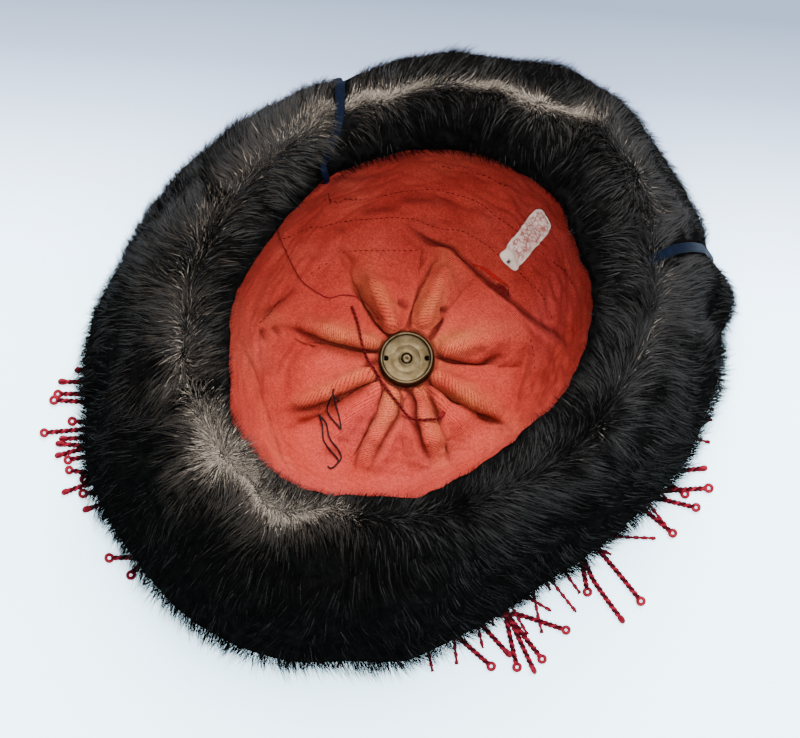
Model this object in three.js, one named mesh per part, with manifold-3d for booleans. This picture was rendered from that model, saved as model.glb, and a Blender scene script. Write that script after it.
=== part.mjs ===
// A winter hat with a turned-up fur brim, lying upside down on its flattened top.
// Millimetres, +Z up from the table, the middle of the finial's seat at the origin, front towards -Y.

import * as THREE from 'three';
import { mergeVertices } from 'three/addons/utils/BufferGeometryUtils.js';
import Module from 'manifold-3d';

const wasm = await Module();
wasm.setup();

const TURN = 2 * Math.PI;
const DEG = Math.PI / 180;

// Driving dimensions

const pieceGap = 0.3;
const hideGap = 0.75;
const headOpening = { halfWidth: 86, halfLength: 101 };
const capDepth = 90;
const crownWall = 2;
const liningWall = 1.2;
const pleatHeight = 11;
const widestColumn = 10;
const postRadius = 2.35;
const postHead = { radius: 9, thickness: 2 };
const fringeThickness = 2.6;
const fringeLength = 190;
const fringeStrips = 36;
const stripRoot = 57;
const fringeHead = { radius: 12.5, thickness: 4.1 };
const nut = { radius: 14.5, thickness: 6.5, holeSpacing: 21, holeRadius: 1.45, holeDepth: 2.6 };
const bandWall = 2;
const bandHeight = 80;
const crestRise = 8.8;
const bandCrest = { halfWidth: 96, halfLength: 113, back: 6 };
const bandEdge = { halfWidth: 135, halfLength: 163, back: -1 };
const bandColumns = 44;
const furDepth = 7;
const furTuck = 11;
const furOverhang = 10;
const furSweep = 15 * DEG;
const lockDepth = 1.1;
const furColumns = 64;
const ribbon = { width: 5, thickness: 0.6, bed: 1.6, bedReach: 2.2 };
const labelSize = { width: 13, length: 46, thickness: 0.5 };
const cordRadius = 0.7;

// Heights and rims that follow from the sizes above

const discHeight = fringeThickness + crownWall + 2 * pieceGap;
const fringeHeadBase = postHead.thickness + pieceGap;
const fringeHeadTop = fringeHeadBase + fringeHead.thickness;
const rimHeight = discHeight + capDepth;
const bandEdgeLift = rimHeight + crestRise - bandHeight;
const dimpleHeight = fringeHeadTop + crownWall + 2 * pieceGap - discHeight;
const nutBase = discHeight + dimpleHeight + liningWall + pieceGap;
const nutTop = nutBase + nut.thickness;
const boreRadius = postRadius + pieceGap;
const crownSkin = pieceGap + crownWall;
const bandRim = {
  halfWidth: headOpening.halfWidth + crownSkin + pieceGap + bandWall / 2,
  halfLength: headOpening.halfLength + crownSkin + pieceGap + bandWall / 2,
  back: 0,
};

// One row for each ring of the cap, from the post's hole out to the rim: reach is the share of the
// way from the hole to the rim, rise the share of the cap's depth, lift the share of the dimple
// over the finial's seat, gather the share of the pleats' height.
const capRings = [
  { reach: 0.0, rise: 0.0, lift: 1.0, gather: 0.0 },
  { reach: 0.15, rise: 0.0, lift: 1.0, gather: 0.0 },
  { reach: 0.2, rise: 0.0, lift: 0.65, gather: 0.6 },
  { reach: 0.27, rise: 0.0, lift: 0.15, gather: 0.92 },
  { reach: 0.36, rise: 0.0, lift: 0.0, gather: 1.0 },
  { reach: 0.46, rise: 0.0, lift: 0.0, gather: 0.92 },
  { reach: 0.56, rise: 0.0, lift: 0.0, gather: 0.68 },
  { reach: 0.66, rise: 0.03, lift: 0.0, gather: 0.34 },
  { reach: 0.75, rise: 0.11, lift: 0.0, gather: 0.08 },
  { reach: 0.82, rise: 0.22, lift: 0.0, gather: 0.0 },
  { reach: 0.88, rise: 0.37, lift: 0.0, gather: 0.0 },
  { reach: 0.93, rise: 0.55, lift: 0.0, gather: 0.0 },
  { reach: 0.97, rise: 0.77, lift: 0.0, gather: 0.0 },
  { reach: 1.0, rise: 1.0, lift: 0.0, gather: 0.0 },
];

// The ring on the flat disc that only the pleats need.
const pleatsOnlyRing = 5;

// One row for each pleat of the lining: the crease that it starts from, its ridge, both in
// degrees about the post from +X, and the ridge's share of the pleats' height.
const pleats = [
  { crease: 12, ridge: 18, height: 0.9 },
  { crease: 47, ridge: 61, height: 1.0 },
  { crease: 102, ridge: 116, height: 0.95 },
  { crease: 132, ridge: 163, height: 1.0 },
  { crease: 172, ridge: 211, height: 0.9 },
  { crease: 218, ridge: 254, height: 0.85 },
  { crease: 261, ridge: 277, height: 0.5 },
  { crease: 292, ridge: 299, height: 0.8 },
  { crease: 317, ridge: 335, height: 0.85 },
  { crease: 342, ridge: 357, height: 0.55 },
];

// One row for each bend of the band, from its sewn inner end to its outer edge: span runs from
// 0 at the rim through 1 at the crest to 2 at the edge, height is the share of the band's height.
const bandBends = [
  { span: 0.0, height: 0.84 },
  { span: 0.08, height: 0.94 },
  { span: 0.42, height: 0.99 },
  { span: 1.0, height: 1.0 },
  { span: 1.2, height: 0.92 },
  { span: 1.45, height: 0.72 },
  { span: 1.72, height: 0.4 },
  { span: 2.0, height: 0.0 },
];

// One row for each ribbon over the fur: its angle at the inner end, in degrees from +X.
const ribbons = [
  { name: 'ribbon_left', angle: 168 },
  { name: 'ribbon_right', angle: 57 },
];

// One row for each stretch of the fringe, counter-clockwise from the angle given in degrees:
// reach is the share of the fringe's length.
const fringeStretches = [
  { from: 0, reach: 0.9 },
  { from: 32, reach: 0.79 },
  { from: 226, reach: 0.97 },
  { from: 268, reach: 0.8 },
  { from: 330, reach: 0.88 },
];

// The loose cord's route over the lining, seen from above.
const cordRoute = [
  [-39.5, -3.7], [-35, -5.4], [-30.1, -7.4], [-25, -10.2], [-19.6, -13.2], [-14, -15.2],
  [-8.8, -16.2], [-2.8, -17], [5.3, -18.2], [10.5, -18.8], [16.2, -18.8], [21.5, -18.6],
  [26.5, -17.7], [30.2, -15.2], [32.6, -11.5], [34.2, -8.5], [34.4, -5.7], [33.5, -3.4],
];

// Small helpers

const lerp = (from, to, share) => from + (to - from) * share;

const wrap = (degrees) => ((degrees % 360) + 360) % 360;

function closedMesh(name, points, triangles, material) {
  const geometry = new THREE.BufferGeometry();
  const positions = points.flatMap((p) => [p.x, p.y, p.z]);
  geometry.setAttribute('position', new THREE.Float32BufferAttribute(positions, 3));
  let volume = 0;
  for (const [a, b, c] of triangles) {
    volume += points[a].dot(new THREE.Vector3().crossVectors(points[b], points[c]));
  }
  const facing = volume > 0 ? triangles : triangles.map(([a, b, c]) => [a, c, b]);
  geometry.setIndex(facing.flat());
  geometry.computeVertexNormals();
  const mesh = new THREE.Mesh(geometry, material);
  mesh.name = name;
  return mesh;
}

// A loop of points swept through a list of places: round in a ring, or with a cap at each end.
function sweepLoops(name, loops, material, ring) {
  const count = loops[0].length;
  const triangles = [];
  const spans = ring ? loops.length : loops.length - 1;
  for (let i = 0; i < spans; i += 1) {
    const here = i * count;
    const next = ((i + 1) % loops.length) * count;
    for (let j = 0; j < count; j += 1) {
      const k = (j + 1) % count;
      triangles.push([here + j, next + j, next + k], [here + j, next + k, here + k]);
    }
  }
  const last = (loops.length - 1) * count;
  for (let j = 1; !ring && j < count - 1; j += 1) {
    triangles.push([0, j, j + 1], [last, last + j + 1, last + j]);
  }
  return closedMesh(name, loops.flat(), triangles, material);
}

function toSolid(geometry) {
  const bare = geometry.clone();
  bare.deleteAttribute('normal');
  bare.deleteAttribute('uv');
  const merged = mergeVertices(bare, 1e-4);
  const vertProperties = new Float32Array(merged.attributes.position.array);
  const triVerts = new Uint32Array(merged.index.array);
  return new wasm.Manifold(new wasm.Mesh({ numProp: 3, vertProperties, triVerts }));
}

function fromSolid(name, solid, material) {
  const { vertProperties, triVerts } = solid.getMesh();
  const geometry = new THREE.BufferGeometry();
  geometry.setAttribute('position', new THREE.BufferAttribute(vertProperties, 3));
  geometry.setIndex(new THREE.BufferAttribute(triVerts, 1));
  geometry.computeVertexNormals();
  const mesh = new THREE.Mesh(geometry, material);
  mesh.name = name;
  return mesh;
}

function upright(radius, height, sides) {
  return new THREE.CylinderGeometry(radius, radius, height, sides).rotateX(Math.PI / 2);
}

function evenAngles(count) {
  return Array.from({ length: count }, (_, i) => (i / count) * TURN);
}

// The polar radius of an oval about its own middle.
function ovalRadius(oval, angle) {
  const along = oval.halfLength * Math.cos(angle);
  const across = oval.halfWidth * Math.sin(angle);
  return (oval.halfWidth * oval.halfLength) / Math.hypot(along, across);
}

// The cap: one section for each angle, shared by the lining and the crown

function capSection(angle) {
  const rim = ovalRadius(headOpening, angle);
  const line = capRings.map((ring) => ({
    r: lerp(boreRadius, rim, ring.reach),
    z: discHeight + capDepth * ring.rise + dimpleHeight * ring.lift,
    gather: ring.gather,
  }));
  return line.map((spot, i) => {
    const before = line[Math.max(i - 1, 0)];
    const after = line[Math.min(i + 1, line.length - 1)];
    const run = after.r - before.r;
    const climb = after.z - before.z;
    const size = Math.hypot(run, climb);
    return { ...spot, inward: -climb / size, up: run / size };
  });
}

function capPoint(spot, angle, offset, relief) {
  const isHole = spot.r <= boreRadius;
  const r = spot.r + (isHole ? 0 : spot.inward * offset);
  const z = spot.z + (isHole ? offset : spot.up * offset) + relief;
  return new THREE.Vector3(r * Math.cos(angle), r * Math.sin(angle), z);
}

// The share of its ridge's height that the pleated cloth has at an angle.
function pleatShare(angle) {
  const degrees = wrap(angle / DEG);
  const index = pleats.findLastIndex((pleat) => pleat.crease <= degrees + 1e-6);
  const pleat = pleats[(index + pleats.length) % pleats.length];
  const next = pleats[(index + 1 + pleats.length) % pleats.length];
  const width = wrap(next.crease - pleat.crease);
  const ridge = wrap(pleat.ridge - pleat.crease) / width;
  const place = wrap(degrees - pleat.crease + 1e-6) / width;
  const side = place < ridge ? place / ridge : (1 - place) / (1 - ridge);
  return pleat.height * Math.pow(Math.max(side, 0), 0.75);
}

function pleatAngles(widest) {
  const marks = pleats.flatMap((pleat) => [pleat.crease, pleat.ridge]);
  return marks.flatMap((mark, i) => {
    const gap = wrap(marks[(i + 1) % marks.length] - mark);
    const parts = Math.ceil(gap / widest);
    return Array.from({ length: parts }, (_, k) => (mark + (gap * k) / parts) * DEG);
  });
}

function liningRelief(spot, angle) {
  return pleatHeight * spot.gather * pleatShare(angle);
}

// The lining's upper face at an angle and at a place counted in rings from the hole.
function liningFace(angle, place, offset) {
  const section = capSection(angle);
  const ring = Math.min(Math.floor(place), section.length - 2);
  const low = section[ring];
  const high = section[ring + 1];
  const from = capPoint(low, angle, liningWall + offset, liningRelief(low, angle));
  const to = capPoint(high, angle, liningWall + offset, liningRelief(high, angle));
  return from.lerp(to, place - ring);
}

function buildLining() {
  const loops = pleatAngles(widestColumn).map((angle) => {
    const section = capSection(angle);
    const relief = section.map((spot) => liningRelief(spot, angle));
    const under = section.map((spot, i) => capPoint(spot, angle, 0, relief[i]));
    const over = section.map((spot, i) => capPoint(spot, angle, liningWall, relief[i]));
    return [...over, ...under.reverse()];
  });
  const sheet = sweepLoops('lining', loops, cotton, true);
  const tear = { x: 2, y: 60.5, length: 16, width: 6, turn: 17 * DEG };
  const slit = upright(tear.width / 2, capDepth, 10).scale(tear.length / tear.width, 1, 1);
  slit.rotateZ(tear.turn).translate(tear.x, tear.y, capDepth / 2);
  return fromSolid('lining', toSolid(sheet.geometry).subtract(toSolid(slit)), cotton);
}

function buildCrown() {
  const loops = pleatAngles(widestColumn).map((angle) => {
    const spots = capSection(angle).filter((spot, i) => i !== pleatsOnlyRing);
    const over = spots.map((spot) => capPoint(spot, angle, -pieceGap, 0));
    const under = spots.map((spot) => capPoint(spot, angle, -crownSkin, 0));
    return [...over, ...under.reverse()];
  });
  return sweepLoops('crown', loops, satin, true);
}

// The brim: the band's middle line and the fur over it

function bandSpot(angle, span, z) {
  const from = span < 1 ? bandRim : bandCrest;
  const to = span < 1 ? bandCrest : bandEdge;
  const share = span < 1 ? span : span - 1;
  const r = lerp(ovalRadius(from, angle), ovalRadius(to, angle), share);
  const y = r * Math.sin(angle) + lerp(from.back, to.back, share);
  return new THREE.Vector3(r * Math.cos(angle), y, z);
}

// Each spot of a section with the direction that points away from the band's inner side.
function withNormals(spots, angle) {
  const outward = new THREE.Vector3(Math.cos(angle), Math.sin(angle), 0);
  return spots.map((point, i) => {
    const before = spots[Math.max(i - 1, 0)];
    const after = spots[Math.min(i + 1, spots.length - 1)];
    const run = after.clone().sub(before);
    const across = run.dot(outward);
    const normal = outward.clone().multiplyScalar(-run.z);
    normal.z = across;
    return { point, normal: normal.normalize() };
  });
}

function bandLine(angle) {
  const spots = bandBends.map((bend) => {
    return bandSpot(angle, bend.span, bandEdgeLift + bandHeight * bend.height);
  });
  return withNormals(spots, angle);
}

function buildBand() {
  const loops = evenAngles(bandColumns).map((angle) => {
    const line = bandLine(angle);
    const over = line.map((s) => s.point.clone().addScaledVector(s.normal, bandWall / 2));
    const under = line.map((s) => s.point.clone().addScaledVector(s.normal, -bandWall / 2));
    return [...over, ...under.reverse()];
  });
  return sweepLoops('brim_band', loops, satin, true);
}

// One row for each ring of the fur, from its end inside the cap to its outer tips: at counts the
// band's bends, or is below 0 inside the cap, depth is the share of the fur's depth and sweep
// the share of the nap's turn towards the back.
const furRings = [
  { at: -2, depth: 0.3, sweep: 0.0 },
  { at: -1, depth: 0.95, sweep: 0.06 },
  { at: 1, depth: 1.0, sweep: 0.12 },
  { at: 2, depth: 1.1, sweep: 0.2 },
  { at: 3, depth: 1.1, sweep: 0.3 },
  { at: 4, depth: 1.1, sweep: 0.42 },
  { at: 5, depth: 1.15, sweep: 0.58 },
  { at: 6, depth: 1.15, sweep: 0.78 },
  { at: 7, depth: 0.95, sweep: 1.0 },
  { at: 8, depth: 0.25, sweep: 1.1 },
];

// The hide's back, a small gap off the cap's rim and off the band.
function hideSpot(angle, at) {
  const skin = bandWall / 2 + hideGap;
  if (at < 0) {
    const rimPlace = capRings.length - 1;
    const tuckPlace = furTuck / (capDepth * (1 - capRings[rimPlace - 1].rise));
    const point = liningFace(angle, rimPlace + tuckPlace * (at + 1), pieceGap);
    return point.setZ(point.z + pieceGap);
  }
  const line = bandLine(angle);
  const last = line.length - 1;
  const spot = line[Math.min(at, last)];
  const point = spot.point.clone().addScaledVector(spot.normal, skin);
  if (at > last) {
    const down = line[last].point.clone().sub(line[last - 1].point).normalize();
    point.addScaledVector(down, furOverhang);
  }
  return point;
}

function sweptAngle(angle, sweep) {
  return angle - furSweep * sweep * Math.sin(angle - TURN / 4);
}

function isRibbonBed(angle) {
  return ribbons.some((row) => {
    return Math.abs(wrap(angle / DEG - row.angle + 180) - 180) < ribbon.bedReach + 0.1;
  });
}

function furLine(angle) {
  const spots = furRings.map((ring) => hideSpot(sweptAngle(angle, ring.sweep), ring.at));
  return withNormals(spots, angle);
}

function furAngles() {
  const steps = [-2.3, -1, 1, 2.3].map((step) => step * ribbon.bedReach);
  const bed = ribbons.flatMap((row) => steps.map((step) => row.angle + step));
  const even = evenAngles(furColumns).map((angle) => angle / DEG);
  const free = even.filter((degrees) => {
    return !ribbons.some((row) => Math.abs(degrees - row.angle) < 8);
  });
  return [...free, ...bed].sort((a, b) => a - b).map((degrees) => degrees * DEG);
}

function buildFur() {
  const loops = furAngles().map((angle, column) => {
    const line = furLine(angle);
    const pile = line.map((spot, i) => {
      const lock = lockDepth * (column % 2 === i % 3 % 2 ? 1 : -1);
      const full = furDepth * furRings[i].depth + lock * furRings[i].depth;
      const depth = isRibbonBed(angle) ? ribbon.bed : full;
      return spot.point.clone().addScaledVector(spot.normal, depth);
    });
    const tip = isRibbonBed(angle) ? 0 : lockDepth * (column % 2 ? -2 : 1);
    pile.at(-1).add(new THREE.Vector3(0, 0, tip));
    const hide = line.map((spot) => spot.point.clone());
    return [...pile, ...hide.reverse()];
  });
  return sweepLoops('brim_fur', loops, fur, true);
}

function buildRibbon(row) {
  const bedSide = (side) => furLine((row.angle + side * ribbon.bedReach) * DEG).map((spot) => ({
    normal: spot.normal,
    point: spot.point.clone().addScaledVector(spot.normal, ribbon.bed),
  }));
  const right = bedSide(1);
  const loops = bedSide(-1).map((left, i) => {
    const side = right[i].point.clone().sub(left.point).normalize();
    const middle = left.point.clone().lerp(right[i].point, 0.5);
    const low = middle.addScaledVector(left.normal, 1.5 * pieceGap);
    const high = low.clone().addScaledVector(left.normal, ribbon.thickness);
    const half = ribbon.width / 2;
    return [
      low.clone().addScaledVector(side, -half),
      low.clone().addScaledVector(side, half),
      high.clone().addScaledVector(side, half),
      high.clone().addScaledVector(side, -half),
    ];
  });
  return sweepLoops(row.name, loops, silk, false);
}

// The finial's post and nut

function buildPost() {
  const tip = nutTop - 0.4;
  const profile = [
    [0, 0], [postHead.radius - 0.6, 0], [postHead.radius, 0.6], [postHead.radius, postHead.thickness],
    [postRadius, postHead.thickness], [postRadius, tip - 0.4], [postRadius - 0.4, tip], [0, tip],
  ].map(([r, z]) => new THREE.Vector2(r, z));
  const mesh = new THREE.Mesh(new THREE.LatheGeometry(profile, 16).rotateX(Math.PI / 2), brass);
  mesh.name = 'finial_post';
  return mesh;
}

function buildNut() {
  const rim = nut.radius - 1.9;
  const dish = nutTop - 1.1;
  const profile = [
    [boreRadius, nutBase], [nut.radius - 0.5, nutBase], [nut.radius, nutBase + 0.7],
    [nut.radius, nutTop - 1.4], [rim + 0.4, nutTop - 0.3], [rim, nutTop], [rim - 0.8, nutTop],
    [rim - 1.1, dish], [boreRadius, dish],
  ];
  const knurl = 0.22;
  const loops = evenAngles(32).map((angle, column) => profile.map(([r, z], i) => {
    const isSide = i === 2 || i === 3;
    const radius = r + (isSide && column % 2 ? -knurl : 0);
    return new THREE.Vector3(radius * Math.cos(angle), radius * Math.sin(angle), z);
  }));
  const body = sweepLoops('finial_nut', loops, brass, true);
  let solid = toSolid(body.geometry);
  const holesTurn = 50 * DEG;
  for (const side of [-1, 1]) {
    const hole = upright(nut.holeRadius, 2 * nut.holeDepth, 10);
    hole.translate((side * nut.holeSpacing) / 2, 0, dish).rotateZ(holesTurn);
    solid = solid.subtract(toSolid(hole));
  }
  return fromSolid('finial_nut', solid, brass);
}

// The fringe: curved strips round a flat head

function fringeReach(degrees, strip) {
  const stretch = fringeStretches.findLast((row) => row.from <= degrees);
  const uneven = 0.025 * (1 + Math.sin(strip * 2.7));
  return fringeLength * (stretch.reach - uneven);
}

// One row for each corner of a strip's outline, from its root to its end and back: share is the
// share of the free length, side the share of its half width.
const stripCorners = [
  { share: 0.02, side: -0.9 },
  { share: 0.4, side: -1 },
  { share: 0.75, side: -1 },
  { share: 0.97, side: -0.9 },
  { share: 1, side: 0 },
  { share: 0.97, side: 0.9 },
  { share: 0.75, side: 1 },
  { share: 0.4, side: 1 },
  { share: 0.02, side: 0.9 },
];

function stripOutline(strip) {
  const pitch = TURN / fringeStrips;
  const angle = strip * pitch;
  const reach = fringeReach(angle / DEG, strip);
  const bend = 0.5 * pitch * Math.sin(strip * 1.9);
  return stripCorners.map(({ share, side }) => {
    const halfTurn = lerp(0.5, 0.2, share) * pitch;
    const turn = angle + bend * share * share * Math.cos(share * 2.2) + side * halfTurn;
    const r = lerp(stripRoot, reach, share);
    return new THREE.Vector2(r * Math.cos(turn), r * Math.sin(turn));
  });
}

function buildFringe() {
  const strips = Array.from({ length: fringeStrips }, (_, strip) => stripOutline(strip));
  const shape = new THREE.Shape(strips.flat());
  const seat = postHead.radius + 2 * pieceGap;
  shape.holes.push(new THREE.Path().absarc(0, 0, seat, 0, TURN, true));
  const plate = new THREE.ExtrudeGeometry(shape, {
    depth: fringeThickness, bevelEnabled: false, curveSegments: 12,
  });
  const bevel = 1;
  const head = [
    [boreRadius, fringeHeadBase], [fringeHead.radius, fringeHeadBase],
    [fringeHead.radius, fringeHeadTop - bevel], [fringeHead.radius - bevel, fringeHeadTop],
    [boreRadius, fringeHeadTop],
  ];
  const loops = evenAngles(18).map((angle) => head.map(([r, z]) => {
    return new THREE.Vector3(r * Math.cos(angle), r * Math.sin(angle), z);
  }));
  const ring = sweepLoops('fringe', loops, redSilk, true);
  return fromSolid('fringe', toSolid(plate).add(toSolid(ring.geometry)), redSilk);
}

// The label on the lining and the loose cord

function buildLabel() {
  const middle = { angle: 93.6 * DEG, place: 9.6, turn: -2.2 * DEG };
  const rings = 9;
  const centre = liningFace(middle.angle, middle.place, 0);
  const r = Math.hypot(centre.x, centre.y);
  const step = liningFace(middle.angle, middle.place + 0.5, 0).distanceTo(centre) / 0.5;
  const loops = Array.from({ length: rings }, (_, i) => {
    const v = labelSize.length * (i / (rings - 1) - 0.5);
    const straight = labelSize.length / 2 - labelSize.width / 2;
    const past = Math.max(Math.abs(v) - straight, 0);
    const half = Math.max(Math.sqrt((labelSize.width / 2) ** 2 - past ** 2), 1.5);
    const spot = (u, lift) => {
      const across = u * Math.cos(middle.turn) - v * Math.sin(middle.turn);
      const along = u * Math.sin(middle.turn) + v * Math.cos(middle.turn);
      return liningFace(middle.angle + across / r, middle.place + along / step, lift);
    };
    const low = pieceGap * 1.3;
    const high = low + labelSize.thickness;
    return [spot(-half, low), spot(0, low), spot(half, low), spot(half, high), spot(0, high),
      spot(-half, high)];
  });
  return sweepLoops('label', loops, paper, false);
}

// The cloth's height under a spot, from the ring lines on both sides of it.
function clothHeight(x, y) {
  const angle = Math.atan2(y, x);
  const section = capSection(angle);
  const r = Math.hypot(x, y);
  const ring = Math.max(section.findIndex((spot) => spot.r > r), 1);
  const low = section[ring - 1];
  const high = section[ring];
  const share = (r - low.r) / (high.r - low.r);
  const from = low.z + liningRelief(low, angle);
  const to = high.z + liningRelief(high, angle);
  return lerp(from, to, share) + liningWall;
}

function buildLooseCord() {
  const rest = cordRadius + 3 * pieceGap;
  const spots = cordRoute.map(([x, y]) => {
    const near = [[0, 0], [3, 0], [-3, 0], [0, 3], [0, -3]];
    const z = Math.max(...near.map(([dx, dy]) => clothHeight(x + dx, y + dy))) + rest;
    return new THREE.Vector3(x, y, z);
  });
  const route = new THREE.CatmullRomCurve3(spots, false, 'centripetal');
  const section = new THREE.Shape();
  section.absarc(0, 0, cordRadius, 0, TURN);
  const geometry = new THREE.ExtrudeGeometry(section, {
    extrudePath: route, steps: 22, curveSegments: 4, bevelEnabled: false,
  });
  const mesh = new THREE.Mesh(geometry, redSilk);
  mesh.name = 'loose_cord';
  return mesh;
}

// Materials

const cotton = new THREE.MeshStandardMaterial({ color: 0xd4533f, roughness: 0.95 });
const satin = new THREE.MeshStandardMaterial({ color: 0x1a1a1f, roughness: 0.6 });
const fur = new THREE.MeshStandardMaterial({ color: 0x0f0f12, roughness: 0.8 });
const silk = new THREE.MeshStandardMaterial({ color: 0x141f40, roughness: 0.5 });
const brass = new THREE.MeshStandardMaterial({ color: 0xa59b82, roughness: 0.4, metalness: 0.9 });
const redSilk = new THREE.MeshStandardMaterial({ color: 0xb01e32, roughness: 0.6 });
const paper = new THREE.MeshStandardMaterial({ color: 0xf0e6dc, roughness: 0.9 });

// The hat

const hat = new THREE.Group();
hat.add(buildCrown(), buildLining(), buildBand(), buildFur());
hat.add(...ribbons.map(buildRibbon));
hat.add(buildPost(), buildNut(), buildFringe(), buildLabel(), buildLooseCord());

export default hat;
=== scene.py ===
"""A winter hat with a turned-up fur brim, lying upside down; lengths are millimetres until meshed."""

import math

import bpy
import numpy as np
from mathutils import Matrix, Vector


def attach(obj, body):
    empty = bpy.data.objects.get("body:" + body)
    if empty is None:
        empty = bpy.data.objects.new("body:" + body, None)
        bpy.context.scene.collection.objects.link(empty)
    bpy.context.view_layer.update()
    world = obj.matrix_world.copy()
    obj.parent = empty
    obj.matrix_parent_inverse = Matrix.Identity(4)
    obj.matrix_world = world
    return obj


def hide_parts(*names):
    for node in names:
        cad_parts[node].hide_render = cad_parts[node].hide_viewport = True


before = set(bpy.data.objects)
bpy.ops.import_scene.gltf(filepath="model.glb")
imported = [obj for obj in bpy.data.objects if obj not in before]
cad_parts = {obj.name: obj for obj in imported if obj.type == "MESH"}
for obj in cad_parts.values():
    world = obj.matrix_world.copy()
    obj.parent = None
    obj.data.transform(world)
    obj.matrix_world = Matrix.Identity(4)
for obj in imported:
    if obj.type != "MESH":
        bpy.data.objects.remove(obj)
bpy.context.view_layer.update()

MM = 0.001
TURN = 2 * math.pi
DEG = math.pi / 180

# Sizes that the frame's solids share

PIECE_GAP = 0.3
HEAD_OPENING = {"half_width": 86, "half_length": 101}
CAP_DEPTH = 90
CROWN_WALL = 2
LINING_WALL = 1.2
PLEAT_HEIGHT = 11
POST_RADIUS = 2.35
POST_HEAD_THICKNESS = 2
FRINGE_THICKNESS = 2.6
FRINGE_HEAD = {"radius": 12.5, "thickness": 4.1}
NUT_RADIUS = 14.5
NUT_THICKNESS = 6.5
HOLE_SPACING = 21
BAND_WALL = 2
BAND_HEIGHT = 80
CREST_RISE = 8.8
CREST = {"half_width": 96, "half_length": 113, "back": 6}
EDGE = {"half_width": 135, "half_length": 163, "back": -1}
FUR_TUCK = 11
FUR_OVERHANG = 10
HIDE_GAP = 0.75

DISC_HEIGHT = FRINGE_THICKNESS + CROWN_WALL + 2 * PIECE_GAP
RIM_HEIGHT = DISC_HEIGHT + CAP_DEPTH
EDGE_LIFT = RIM_HEIGHT + CREST_RISE - BAND_HEIGHT
HEAD_TOP = POST_HEAD_THICKNESS + PIECE_GAP + FRINGE_HEAD["thickness"]
DIMPLE = HEAD_TOP + CROWN_WALL + 2 * PIECE_GAP - DISC_HEIGHT
NUT_BASE = DISC_HEIGHT + DIMPLE + LINING_WALL + PIECE_GAP
NUT_TOP = NUT_BASE + NUT_THICKNESS
BORE = POST_RADIUS + PIECE_GAP
CROWN_SKIN = PIECE_GAP + CROWN_WALL
RIM_OFFSET = CROWN_SKIN + PIECE_GAP + BAND_WALL / 2
BAND_RIM = {
    "half_width": HEAD_OPENING["half_width"] + RIM_OFFSET,
    "half_length": HEAD_OPENING["half_length"] + RIM_OFFSET,
    "back": 0,
}

# Columns: reach from the post's hole to the rim, rise of the cap's depth, lift of the dimple,
# gather of the pleats' height.
CAP_RINGS = np.array([
    (0.0, 0.0, 1.0, 0.0),
    (0.15, 0.0, 1.0, 0.0),
    (0.2, 0.0, 0.65, 0.6),
    (0.27, 0.0, 0.15, 0.92),
    (0.36, 0.0, 0.0, 1.0),
    (0.46, 0.0, 0.0, 0.92),
    (0.56, 0.0, 0.0, 0.68),
    (0.66, 0.03, 0.0, 0.34),
    (0.75, 0.11, 0.0, 0.08),
    (0.82, 0.22, 0.0, 0.0),
    (0.88, 0.37, 0.0, 0.0),
    (0.93, 0.55, 0.0, 0.0),
    (0.97, 0.77, 0.0, 0.0),
    (1.0, 1.0, 0.0, 0.0),
])
RIM_PLACE = len(CAP_RINGS) - 1

# Columns: the crease that a pleat starts from, its ridge (degrees), the ridge's share of height.
PLEATS = np.array([
    (12, 18, 0.9), (47, 61, 1.0), (102, 116, 0.95), (132, 163, 1.0), (172, 211, 0.9),
    (218, 254, 0.85), (261, 277, 0.5), (292, 299, 0.8), (317, 335, 0.85), (342, 357, 0.55),
])

# Columns: span from the rim (0) over the crest (1) to the edge (2), share of the band's height.
BAND_BENDS = np.array([
    (0.0, 0.84), (0.08, 0.94), (0.42, 0.99), (1.0, 1.0), (1.2, 0.92), (1.45, 0.72),
    (1.72, 0.4), (2.0, 0.0),
])

CORD_ROUTE = [
    (-39.5, -3.7), (-35, -5.4), (-30.1, -7.4), (-25, -10.2), (-19.6, -13.2), (-14, -15.2),
    (-8.8, -16.2), (-2.8, -17), (5.3, -18.2), (10.5, -18.8), (16.2, -18.8), (21.5, -18.6),
    (26.5, -17.7), (30.2, -15.2), (32.6, -11.5), (34.2, -8.5), (34.4, -5.7), (33.5, -3.4),
]


# Small helpers

def smoothstep(low, high, value):
    share = np.clip((value - low) / (high - low), 0, 1)
    return share * share * (3 - 2 * share)


def ring(count):
    """Angles evenly spaced round a whole turn."""
    return np.arange(count) / count * TURN


def ray(angles):
    """Level unit vectors at angles."""
    return np.stack([np.cos(angles), np.sin(angles), 0 * angles], -1)


def polar(radius, angle, z):
    return np.stack([radius * np.cos(angle), radius * np.sin(angle), z + 0 * radius], -1)


def bell(value, width):
    """A smooth peak of 1 at zero that is nearly gone at twice the width."""
    return np.exp(-(value / width) ** 2)


def unit(vectors):
    return vectors / np.maximum(np.linalg.norm(vectors, axis=-1, keepdims=True), 1e-9)


def spline(rows, place):
    """Rows at 0, 1, 2 and so on, joined by smooth curves and read at each place."""
    rows = np.asarray(rows, float)
    last = len(rows) - 1
    index = np.clip(np.floor(place).astype(int), 0, last - 1)
    share = np.clip(place, 0, last) - index
    share = share.reshape(share.shape + (1,) * (rows.ndim - 1))
    before, here = rows[np.maximum(index - 1, 0)], rows[index]
    after, beyond = rows[index + 1], rows[np.minimum(index + 2, last)]
    slope_here, slope_after = (after - before) / 2, (beyond - here) / 2
    square, cube = share ** 2, share ** 3
    return (
        (2 * cube - 3 * square + 1) * here + (cube - 2 * square + share) * slope_here
        + (3 * square - 2 * cube) * after + (cube - square) * slope_after
    )


def ring_table(rows, degrees):
    """The second column of a table of (angle, value), read round the ring."""
    rows = np.asarray(rows, float)
    return np.interp(degrees % 360, rows[:, 0], rows[:, 1], period=360)


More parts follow.
